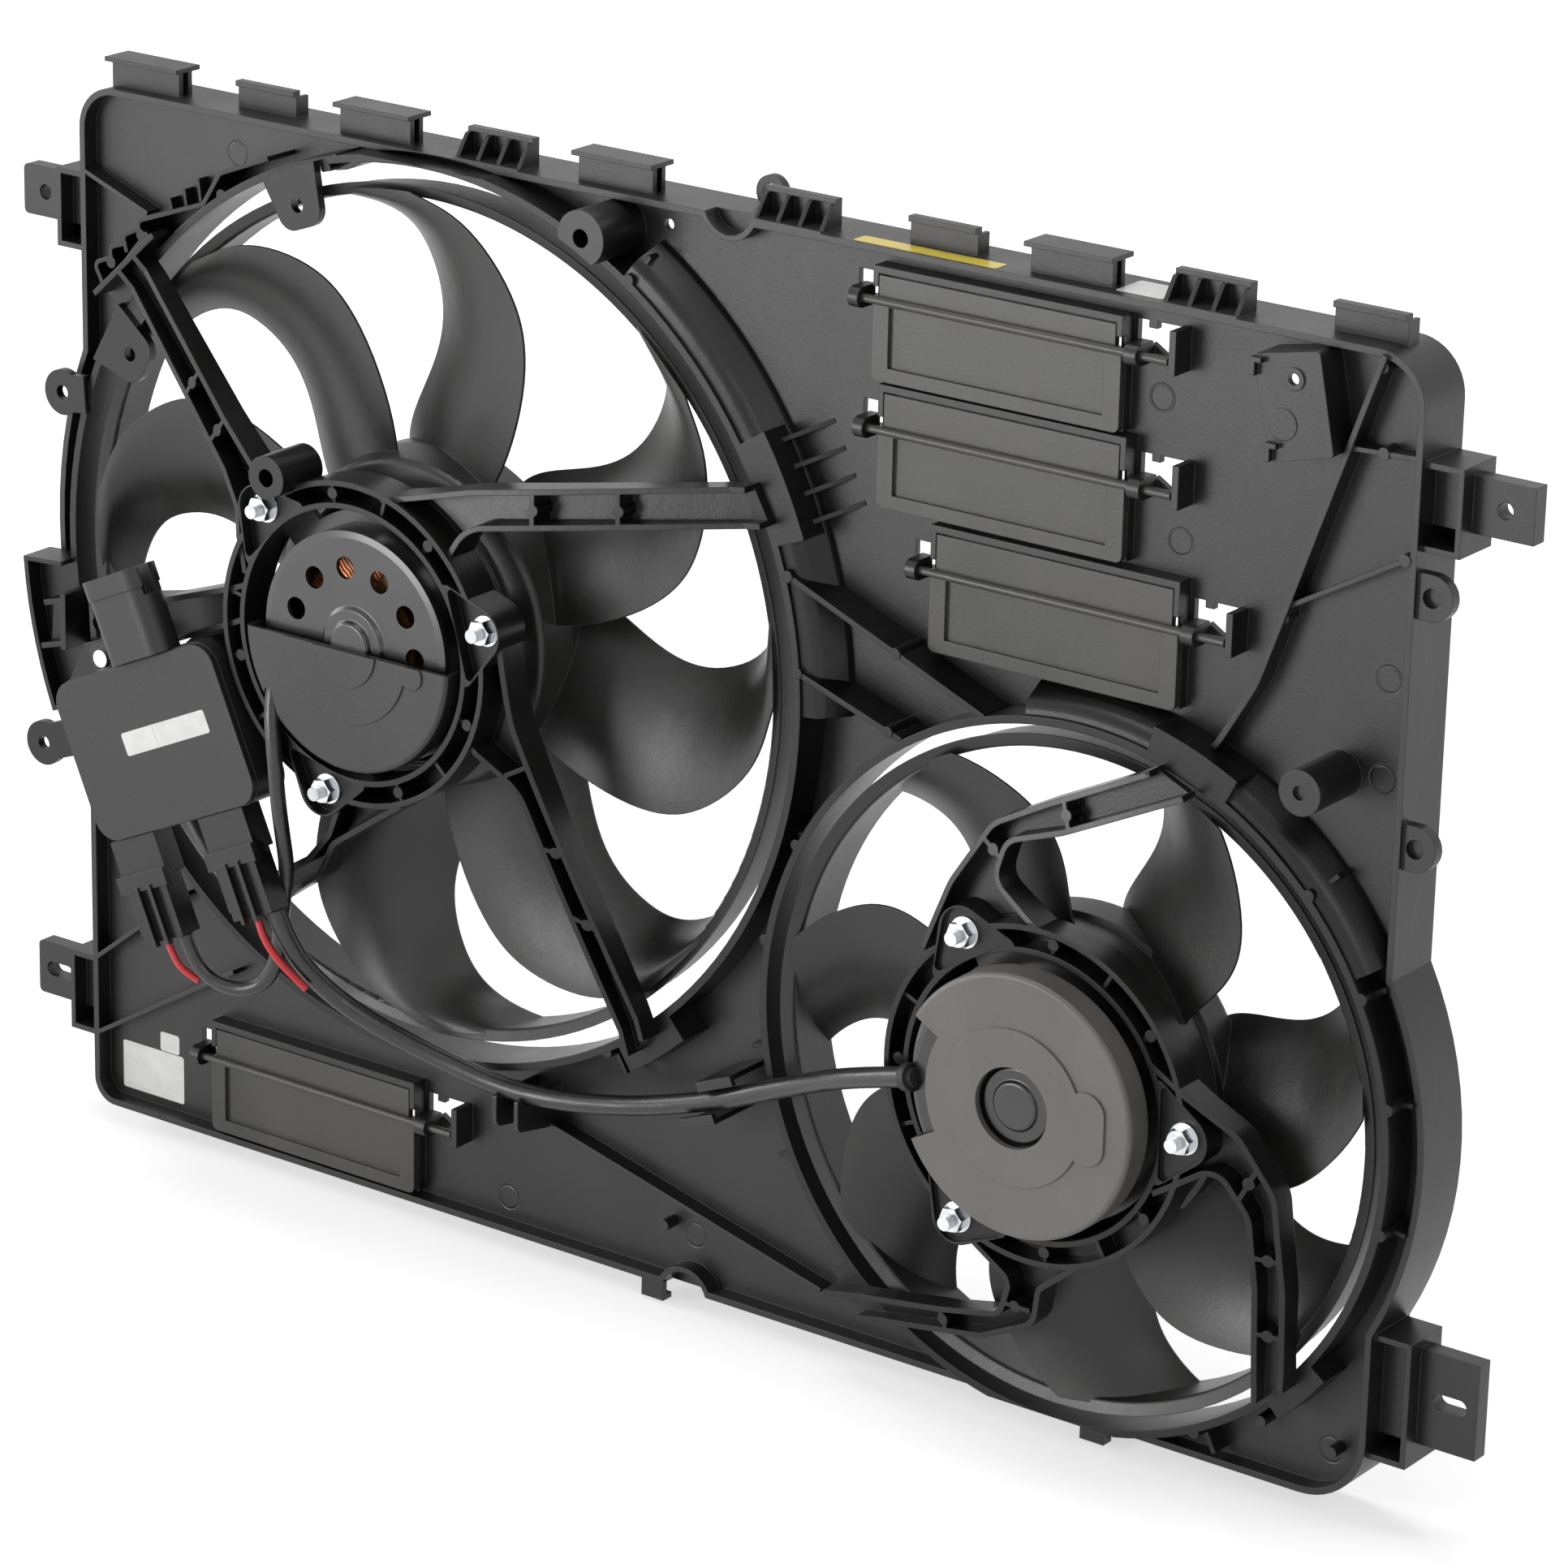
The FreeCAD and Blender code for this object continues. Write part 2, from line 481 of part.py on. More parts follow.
def carrier(side, arms, cross_ribs, pins):
    """One motor carrier: two rings joined by spokes, three ears and the arms out to the duct."""
    data = SHROUD[side]
    axis = data["axis"]
    front, back = data["carrier"]
    outer, inner = data["outer"], data["inner"]
    walls = [rib(path, RIB, front - 5, 0) for pair in arms for path in pair]
    inside = fused([plate(first + second[::-1], front - 5, 0) for first, second in arms])
    crossing = [rib(path, 2.0, front - 4, 0) for path in cross_ribs]
    crossing += [disc(place, PIN_RADIUS, front - 4, 0) for place in pins]
    walls.append(fused(crossing).common(inside))
    body = fused(walls).common(arm_limits(side)).fuse(inside.common(arm_limits(side, only_web=True)))
    pieces = [ring(axis, outer, outer - RIB, front, back), ring(axis, inner + RIB, inner, front, back),
              ring(axis, outer - 1, inner + 1, back - WEB, back)]
    for step in range(15):
        degrees = 24 * step + data["ears"][0] + 12
        pieces.append(spoke(axis, degrees, inner + 1.5, outer - 1.5, 1.8, front + 2, back - 1))
        if step % 2:
            pieces.append(disc(at(axis, (inner + outer) / 2, degrees), PIN_RADIUS, front + 1.5, back - 1))
    lugs, pockets = [], []
    for degrees in data["ears"]:
        lug = [at(axis, inner + 1, degrees - 25) + (4,), at(axis, STUD_CIRCLE + 20, degrees) + (12,),
               at(axis, inner + 1, degrees + 25) + (4,)]
        pocket = [at(axis, inner + 4, degrees - 20) + (2,), at(axis, STUD_CIRCLE + 16.5, degrees) + (9.5,),
                  at(axis, inner + 4, degrees + 20) + (2,)]
        lugs.append(plate(lug, front, back))
        pockets.append(plate(pocket, front - 10, data["seat"]))
    body = body.fuse(pieces + lugs)
    cuts = [disc(axis, inner, front - 5, back + 1)] + pockets
    for degrees in data["ears"]:
        cuts.append(disc(at(axis, STUD_CIRCLE, degrees), STUD + 0.3, front - 5, back + 1))
    return body.cut(cuts)


def left_carrier():
    arms = [
        ([(39.7, 410.4), (124.4, 341.7, 10), (136.0, 328.0, 8), (142.0, 300.0)],
         [(48.5, 418.6), (120.0, 363.0, 30), (146.0, 345.0, 8), (168.0, 340.0)]),
        ([(218.0, 348.0), (262.0, 358.5, 40), (384.0, 377.0)],
         [(254.0, 328.0), (262.0, 343.5, 14), (392.0, 363.0)]),
        ([(281.0, 300.0), (287.0, 262.0, 60), (335.0, 121.0)],
         [(268.0, 248.0), (288.6, 231.7, 25), (327.0, 112.0)]),
        ([(229.0, 213.0), (186.0, 184.0, 12), (172.0, 164.0, 20), (125.0, 132.0)],
         [(199.0, 213.0), (184.5, 188.0, 12), (168.0, 171.5, 12), (120.0, 142.0)]),
        ([(146.0, 296.0), (87.7, 274.0, 60), (-8.0, 247.0)],
         [(146.0, 281.0), (86.8, 254.3, 60), (-10.0, 226.0)]),
    ]
    cross_ribs = [
        [(92.0, 366.0), (101.0, 380.0)], [(112.0, 350.0), (122.0, 364.0)], [(292.0, 346.0), (290.0, 364.0)],
        [(330.0, 351.0), (328.0, 369.0)], [(298.0, 206.0), (308.0, 204.0)], [(308.0, 175.0), (320.0, 170.0)],
        [(283.0, 238.0), (296.0, 245.0)], [(60.0, 244.0), (57.0, 266.0)], [(30.0, 235.0), (27.0, 258.0)]]
    pins = [(96.5, 373.0), (117.0, 357.0), (291.0, 355.0), (329.0, 360.0), (303.0, 205.0), (314.0, 172.5),
            (28.5, 246.0)]
    body = carrier("left", arms, cross_ribs, pins)
    end_wall = rib([(25.6, 397.3), (60.5, 429.7)], RIB, ARM_END, DUCT_FRONT)
    boss = disc(CARRIER_BOSS, 9.7, BOSS_FRONT, SHROUD["left"]["carrier"][1] - 2)
    body = body.fuse([end_wall, boss.cut(disc(LEFT_AXIS, 70.5, -80, 0))])
    save("left_motor_carrier", body.cut(disc(CARRIER_BOSS, 4.0, BOSS_FRONT - 1, BOSS_FRONT + 16)))


def right_carrier():
    arms = [
        ([(488.0, 205.0), (499.0, 236.0, 30), (516.4, 264.3, 14), (541.0, 277.5, 40), (586.0, 299.5)],
         [(545.0, 226.0), (520.0, 242.0, 9), (524.0, 259.0, 9), (550.0, 268.0, 40), (602.0, 292.5)]),
        ([(600.0, 183.0), (641.0, 160.5, 14), (657.0, 138.0, 16), (661.5, 96.0, 60), (660.5, 52.0)],
         [(604.0, 128.0), (632.0, 146.0, 9), (646.5, 127.0, 14), (649.5, 96.0, 60), (648.5, 44.0)]),
        ([(570.0, 86.0), (550.0, 70.0, 8), (546.0, 52.0, 12), (519.0, 38.0, 16), (452.0, 25.0)],
         [(515.0, 85.0), (536.0, 70.0, 7), (529.0, 51.5, 9), (498.0, 44.0, 30), (434.0, 31.5)]),
    ]
    cross_ribs = [
        [(512.0, 258.0), (524.0, 250.0)], [(548.0, 282.0), (553.0, 268.0)], [(650.0, 150.0), (642.0, 134.0)],
        [(661.0, 110.0), (648.0, 110.0)], [(661.0, 76.0), (648.0, 76.0)], [(545.0, 58.0), (530.0, 58.0)],
        [(500.0, 34.0), (497.0, 45.0)]]
    pins = [(518.0, 254.0), (550.5, 275.0), (646.0, 142.0), (655.0, 110.0), (655.0, 76.0), (537.5, 58.0),
            (498.5, 39.5)]
    save("right_motor_carrier", carrier("right", arms, cross_ribs, pins))


def duct(side, collar, gussets, roots, back):
    """One duct: the wall round the fan, a rounded collar on part of it, gussets and arm roots."""
    data = SHROUD[side]
    axis, radius = data["axis"], data["duct"]
    pieces = [ring(axis, radius, radius - DUCT_WALL, DUCT_FRONT, back)]
    start, sweep, reach = collar
    rounded = [(radius - 0.5, -8), (radius + reach * 0.45, -6, 8), (radius + reach, PANEL_FRONT - 2, 4),
               (radius + reach, PANEL_FRONT), (radius + reach - 3, PANEL_FRONT),
               (radius + reach * 0.4, -3.5, 6), (radius - 0.5, -5)]
    pieces.append(lathe(axis, rounded, start, sweep))
    for degrees, reach, front in gussets:
        pieces.append(spoke(axis, degrees, radius - 1, radius + reach, 2.0, front, PANEL_FRONT))
        pieces.append(disc(at(axis, radius, degrees), PIN_RADIUS, DUCT_FRONT, PANEL_FRONT))
    for degrees, spread, reach in roots:
        bent = [(radius - 1, DUCT_FRONT), (radius + reach, DUCT_FRONT), (radius + reach, PANEL_FRONT),
                (radius + reach - 3, PANEL_FRONT), (radius + reach - 3, DUCT_FRONT + 3),
                (radius - 1, DUCT_FRONT + 3)]
        pieces.append(lathe(axis, bent, degrees - spread / 2, spread))
        for edge in (-spread / 2, spread / 2):
            pieces.append(spoke(axis, degrees + edge, radius - 1, radius + reach, 2.0, DUCT_FRONT,
                                PANEL_FRONT))
    return fused(pieces)


def ducts():
    gussets = [(degrees, 12.0, -4.0) for degrees in (57, 301, 312)]
    roots = [(27.0, 12.0, 14.0), (142.0, 10.0, 10.0), (219.0, 8.0, 10.0), (308.0, 9.0, 12.0)]
    left = duct("left", (0.0, 58.0, 15.0), gussets, roots, DUCT_BACK)
    limits = envelope(RIM_WALL, -60, RIM_DEPTH)
    bosses = [disc(place, radius, front, PANEL_FRONT) for place, radius, front, bore, depth in BOSSES]
    hung = [plate([at(LEFT_AXIS, 203, degrees - 4.5), at(LEFT_AXIS, 203, degrees + 4.5),
                   at(LEFT_AXIS, 176, degrees + 3.5) + (8,), at(LEFT_AXIS, 176, degrees - 3.5) + (8,)],
                  DUCT_FRONT - 4, DUCT_FRONT) for degrees in HUNG_LUGS]
    fins = [fin(LEFT_AXIS, 27, shift, LEFT_DUCT - 1, 240, 2.0, -6) for shift in (-18, -6, 6, 18)]
    walls = [rib(path, 2.0, DUCT_FRONT, PANEL_FRONT) for path in (
        [(21.2, 399.8), (16.7, 407.9, 3), (27.0, 412.0)], [(27.5, 408.0), (26.1, 416.6, 3), (36.0, 420.0)],
        [(36.1, 415.9), (33.9, 423.2, 3), (44.0, 428.0)],
        [(44.6, 425.0), (42.4, 431.1, 3), (81.1, 445.1, 3), (91.0, 460.6, 4), (118.4, 471.4)],
        [(16.4, 393.6), (51.5, 426.2)], [(136.0, 467.0), (157.0, 479.0)], [(150.0, 468.0), (173.0, 480.5)])]
    thorns = [rib(path, 1.6, 2, PANEL_FRONT) for path in (
        [(69.5, 440.0), (67.6, 452.0)], [(61.0, 437.0), (59.5, 446.0)], [(52.5, 434.0), (50.8, 440.5)])]
    studs = [disc(place, PIN_RADIUS, DUCT_FRONT, PANEL_FRONT)
             for place in ((26.8, 409.6), (44.6, 425.0), (91.6, 450.9), (151.2, 472.5))]
    links = [rib(path, 2.5, DUCT_FRONT, PANEL_FRONT) for path in (
        [(396.5, 342.0), (454.7, 319.0), (499.0, 301.2)], [(404.0, 300.5), (458.5, 282.3)])]
    links += [disc(place, PIN_RADIUS, DUCT_FRONT - 0.5, PANEL_FRONT)
              for place in ((399.5, 340.8), (454.7, 319.0), (405.5, 300.0), (452.0, 284.5))]
    left = left.fuse(hung + fins + walls + thorns + studs + links).common(limits)
    left = left.cut(bosses + [disc(RIGHT_AXIS, RIGHT_DUCT, -40, 40),
                              disc(LEFT_AXIS, FAN["left"]["band"] + 6, DUCT_FRONT, 40)])
    # lugs and the open root box outside the rim, in front of it
    outer = []
    for place, degrees in OUTER_LUGS:
        strap = rib([place, at(LEFT_AXIS, LEFT_DUCT - 2, degrees)], 17.0, DUCT_FRONT - 3, DUCT_FRONT + 1)
        outer.append(disc(place, 10.5, DUCT_FRONT - 3, DUCT_FRONT + 1).fuse(strap))
    start, end = ROOT_BOX
    shell = [(223.5, ARM_END + 2), (226, ARM_END + 2), (226, -0.3), (223.5, -0.3)]
    floor = [(LEFT_DUCT - 1, DUCT_FRONT), (225, DUCT_FRONT), (225, DUCT_FRONT + RIB),
             (LEFT_DUCT - 1, DUCT_FRONT + RIB)]
    outer += [lathe(LEFT_AXIS, section, start, end - start) for section in (shell, floor)]
    outer += [spoke(LEFT_AXIS, degrees, LEFT_DUCT - 1, 226, 2.0, ARM_END + 2, -0.3) for degrees in ROOT_BOX]
    holes = [disc(place, 3.3, -30, 0) for place, degrees in OUTER_LUGS]
    holes += [disc(at(LEFT_AXIS, 186, degrees), 3.2, -30, 0) for degrees in HUNG_LUGS]
    save("left_fan_duct", left.fuse(outer).cut(holes))
    gussets = [(degrees, 12, -2.0) for degrees in (350, 10, 27, 44, 190, 207, 297)]
    gussets += [(degrees, 5, -2.0) for degrees in (153, 171)]
    roots = [(70.0, 14.0, 11.0), (318.0, 10.0, 8.0), (230.0, 8.0, 8.0)]
    right = duct("right", (30.0, 70.0, 11.0), gussets, roots, DUCT_BACK)
    save("right_fan_duct", right.common(limits).cut(bosses))


# Motors

def motor(side):
    """The pieces of one brushed motor, from its cap to its shaft."""
    data = MOTOR[side]
    axis = SHROUD[side]["axis"]
    cap, back, can = data["cap"], data["back"], data["can"]
    flange = SHROUD[side]["carrier"][1]
    first, last = cap + 2, back - 2
    prefix = side + "_motor_"
    dome = cap - data["dome"]

    shell = lathe(axis, [(can - 2, first), (can, first), (can, back, 3), (10, back), (10, back + 5),
                         (BUSH, back + 5), (BUSH, last - 2), (10, last - 2), (10, last), (can - 2, last, 2)])
    wings = [disc(at(axis, STUD_CIRCLE, degrees), 8.5, flange, flange + 2.5)
             for degrees in SHROUD[side]["ears"]]
    wings += [rib([at(axis, can + 4, degrees), at(axis, STUD_CIRCLE, degrees)], 20.0, flange, flange + 2.5)
              for degrees in SHROUD[side]["ears"]]
    collar = fused([ring(axis, can + 6, can - 1, flange, flange + 2.5)] + wings)
    collar = collar.cut([disc(axis, can - 1, flange - 1, flange + 4)]
                        + [disc(at(axis, STUD_CIRCLE, degrees), STUD, flange - 1, flange + 4)
                           for degrees in SHROUD[side]["ears"]])
    save(prefix + "can", shell.fuse(collar))

    step_front = cap - data["dome"] * 0.4
    end = lathe(axis, [(BUSH, cap + 6), (10, cap + 6), (10, cap + 2), (can, cap + 2), (can, cap + 0.5),
                       (data["cap_radius"], cap, 1), (17, cap, 1), (15.5, step_front, 0.8), (11, step_front, 0.8),
                       (10, dome, 1.5), (0, dome), (0, dome + 1.5), (BUSH, dome + 1.5)])
    if side == "left":
        vents = [disc(at(axis, 33.7, 32.6 + 360 * step / 11), 5.0, cap - 1, cap + 3) for step in range(11)]
        end = end.cut(vents)
    save(prefix + "end_cap", end)

    magnets = [lathe(axis, [(can - 6, cap + 17), (can - 2, cap + 17), (can - 2, last - 4), (can - 6, last - 4)],
                     90 * step + 12, 66) for step in range(4)]
    save(prefix + "magnets", Part.makeCompound(magnets))

    core_front, core_back = cap + 20, last - 9
    core_radius = can - 6.6
    core = ring(axis, core_radius, SHAFT, core_front, core_back)
    slots = []
    for step in range(12):
        neck = spoke(axis, 30 * step, core_radius - 4, core_radius + 1, 2.5, core_front - 1, core_back + 1)
        well = plate([at(axis, 18, 30 * step - 7), at(axis, 18, 30 * step + 7),
                      at(axis, core_radius - 3, 30 * step + 10), at(axis, core_radius - 3, 30 * step - 10)],
                     core_front - 1, core_back + 1)
        slots.append(neck.fuse(well))
    save(prefix + "armature_core", core.cut(slots))

    wound = core_radius - 3.5
    turns = [lathe(axis, [(17.5, core_front - 6, 2), (wound, core_front - 6, 2), (wound, core_front),
                          (17.5, core_front)]),
             lathe(axis, [(17.5, core_back), (wound, core_back), (wound, core_back + 5, 2),
                          (17.5, core_back + 5, 2)])]
    for step in range(12):
        turns.append(plate([at(axis, 18, 30 * step - 6.5), at(axis, 18, 30 * step + 6.5),
                            at(axis, wound, 30 * step + 9.5), at(axis, wound, 30 * step - 9.5)],
                           core_front - 1, core_back + 1))
    save(prefix + "windings", fused(turns))

    commutator = ring(axis, 13.0, SHAFT, cap + 7, cap + 13.5)
    grooves = [spoke(axis, 30 * step, 11.5, 14, 0.6, cap + 6, cap + 12) for step in range(12)]
    save(prefix + "commutator", commutator.cut(grooves))

    card = ring(axis, 27.0, 15.5, cap + 6.5, cap + 8.5).fuse(
        [spoke(axis, degrees, 24, can - 2, 14.0, cap + 6.5, cap + 8.5) for degrees in (60, 240)])
    card = card.common(disc(axis, can - 2, cap, cap + 20))
    holders = [spoke(axis, degrees, 13.5, 26, 6.0, cap + 8.5, cap + 13.5) for degrees in (15, 105, 195, 285)]
    save(prefix + "brush_card", card.fuse(holders))

    boss_back = data["hub_back"] + 3
    save(prefix + "shaft", disc(axis, SHAFT, dome + 2.5, boss_back + 5))
    save(prefix + "bushes", Part.makeCompound([ring(axis, BUSH, SHAFT + RUNNING_GAP, dome + 2, cap + 5.5),
                                               ring(axis, BUSH, SHAFT + RUNNING_GAP, last - 1.5, back + 4.5)]))
    studs, nuts = [], []
    seat = SHROUD[side]["seat"]
    for degrees in SHROUD[side]["ears"]:
        place = at(axis, STUD_CIRCLE, degrees)
        head = disc(place, 5.0, flange + 2.5, flange + 4.0)
        studs.append(disc(place, STUD, seat - 11, flange + 2.5).fuse(head))
        hexagon = [at(place, NUT_ACROSS / math.sqrt(3), 60 * step + 10) for step in range(6)]
        chamfered = lathe(place, [(0, seat - 6.5), (NUT_ACROSS / 2 - 0.2, seat - 6.5),
                                  (NUT_ACROSS / 2 + 1, seat - 5.8), (NUT_ACROSS / 2 + 1, seat), (0, seat)])
        nut = plate(hexagon, seat - 6.5, seat - 1.2).common(chamfered)
        nut = nut.fuse(disc(place, 6.8, seat - 1.2, seat)).cut(disc(place, STUD, seat - 8, seat + 1))
        nuts.append(nut)
    save(prefix + "studs", Part.makeCompound(studs))
    save(prefix + "nuts", Part.makeCompound(nuts))
    clip = ring(axis, 9.0, SHAFT, boss_back, boss_back + 1.5)
    save(side + "_fan_clip", clip)


def covers():
    """The plastic covers in front of the motors."""
    axis = RIGHT_AXIS
    front, radius, snail = -47.0, 57.0, 34.0
    body = lathe(axis, [(17.5, front), (radius, front, 2), (radius, -34), (radius - 2, -34),
                        (radius - 2, front + 2), (17.5, front + 2)])
    lobe = plate([at(axis, 30, -26) + (3,), at(axis, 49, -24) + (9,), at(axis, 49, 24) + (9,),
                  at(axis, 30, 26) + (3,)],
                 front - 1, front + 1)
    raised = disc(axis, snail, front - 1, front + 1).fuse(lobe).cut(disc(axis, 17.5, front - 2, front + 3))
    notch = lathe(axis, [(43, front - 2), (60, front - 2), (60, -36), (43, -36)], 150.5, 58)
    cap = MOTOR["right"]["cap"]
    body = body.fuse([raised, ring(axis, 40, 38, front + 1, cap)]).cut(notch)
    body = body.cut(disc(axis, MOTOR["right"]["can"], cap, 0))
    save("right_motor_cover", body)
    axis = LEFT_AXIS
    front, radius = -60.0, 56.0
    body = lathe(axis, [(0, front), (radius, front, 2), (radius, -50), (radius - 2, -50),
                        (radius - 2, front + 2), (0, front + 2)])
    body = body.cut(block(axis[0] - 60, axis[0] + 60, axis[1] - 1.3, axis[1] + 60, front - 1, -40))
    raised = disc(axis, 34.0, front - 0.8, front + 1).fuse(disc(at(axis, 37, -8), 6, front - 0.8, front + 1))
    middle = disc(axis, 17.5, front - 1.6, front + 1)
    half = block(axis[0] - 60, axis[0] + 60, axis[1] - 60, axis[1] - 1.3, front - 3, front + 2)
    body = body.fuse([raised.common(half), middle.common(half)])
    bridge = [spoke(axis, degrees, 49, 53, 12, front + 2, -50) for degrees in (250, 300)]
    slot = tube(LEFT_LEAD, LEFT_LEAD_RADIUS + LEAD_ROOM)
    body = body.fuse(bridge).cut([disc(axis, MOTOR["left"]["can"], MOTOR["left"]["cap"], 0), slot])
    save("left_motor_half_cover", body)


# Fans

def edge_angle(line, radius):
    """The angle of a blade edge at a radius, along the (radius, degrees) line."""
    for (r0, a0), (r1, a1) in zip(line, line[1:]):
        if radius <= r1:
            break
    return a0 + (a1 - a0) * (radius - r0) / (r1 - r0)


def blade_section(axis, fan, angle, distance):
    """One flat cut across a blade: a thin cambered lens at a distance from the axis."""
    middle = (edge_angle(fan["leading"], distance) + edge_angle(fan["trailing"], distance)) / 2
    ends = []
    for line, depth in ((fan["leading"], fan["front"] - 1), (fan["trailing"], fan["back"] - 1)):
        radius = distance
        for _ in range(12):
            off = math.radians(edge_angle(line, radius) - middle)
            radius = distance / math.cos(off)
        ends.append((radius * math.sin(off), depth))
    (s0, y0), (s1, y1) = ends
    chord = math.hypot(s1 - s0, y1 - y0)
    along = ((s1 - s0) / chord, (y1 - y0) / chord)
    heading = math.radians(angle + middle)
    outward = V(math.cos(heading), 0, math.sin(heading))
    across = V(-math.sin(heading), 0, math.cos(heading))

    def point(part, side):
        bow = 4 * part * (1 - part)
        lift = 0.055 * chord * bow + side * fan["thickness"] / 2 * (0.35 + 0.65 * bow)
        s = s0 + (s1 - s0) * part + along[1] * lift
        y = y0 + (y1 - y0) * part - along[0] * lift
        return V(axis[0], y, axis[1]) + outward * distance + across * s

    parts = (0.0, 0.2, 0.5, 0.8, 1.0)
    front = Part.BSplineCurve()
    front.interpolate([point(part, 1) for part in parts])
    rear = Part.BSplineCurve()
    rear.interpolate([point(part, -1) for part in reversed(parts)])
    return Part.Wire([front.toShape(), Part.makeLine(point(1, 1), point(1, -1)), rear.toShape(),
                      Part.makeLine(point(0, -1), point(0, 1))])


def fan(side):
    """One fan: the hub cup, the swept blades and the band round their tips."""
    data = FAN[side]
    axis = SHROUD[side]["axis"]
    hub_back = MOTOR[side]["hub_back"]
    bore = data["hub_bore"]
    wall = data["hub_wall"]
    inside = [(SHAFT, hub_back - 10), (12, hub_back - 10), (12, hub_back - wall), (bore - 4, hub_back - wall, 3),
              (bore, hub_back - wall - 8)]
    cup = lathe(axis, inside + list(data["hub"]) + [(12, hub_back), (12, hub_back + 3), (SHAFT, hub_back + 3)])
    rim, front, back = data["band"], data["front"], data["back"]
    outside = rim - data["band_lip"]
    band = lathe(axis, [(outside - data["band_wall"], front + 2, 2), (rim, front), (rim, front + 2),
                        (outside, front + 4, 2), (outside, back), (outside - data["band_wall"] + 0.5, back)])
    loft = Part.makeLoft([blade_section(axis, data, 0.0, distance) for distance in data["planes"]], True)
    space = ring(axis, data["tip"], data["root"], front - 10, back + 20)
    single = loft.common(space)
    blades = [turned(single, axis, degrees) for degrees in data["blades"]]
    return cup, band, blades


def fans():
    for side in ("left", "right"):
        cup, band, blades = fan(side)
        save(side + "_fan", cup.fuse([band] + blades))


# Flaps

def flaps():
    for name, (x, bottom, top, rod_z) in FLAPS.items():
        right = x + FLAP_WIDTH
        inner_left, inner_right = x + FRAME + 0.5, right - FRAME - 0.5
        lid = plate([(x, bottom, 3), (right, bottom, 3), (right, rod_z + SHOULDER), (inner_right, rod_z + SHOULDER),
                     (inner_right, top - LINTEL - 0.7), (inner_left, top - LINTEL - 0.7),
                     (inner_left, rod_z + SHOULDER), (x, rod_z + SHOULDER)], -0.5, 2.5)
        recess = block(x + 8, right - 8, bottom + 6, rod_z - 2.5, -1, 1.2)
        rod = Part.makeCylinder(ROD, FLAP_WIDTH + 33, V(x - 10, ROD_Y, rod_z), V(1, 0, 0))
        save(name, lid.cut(recess).fuse(rod))


# Fan control module and its leads

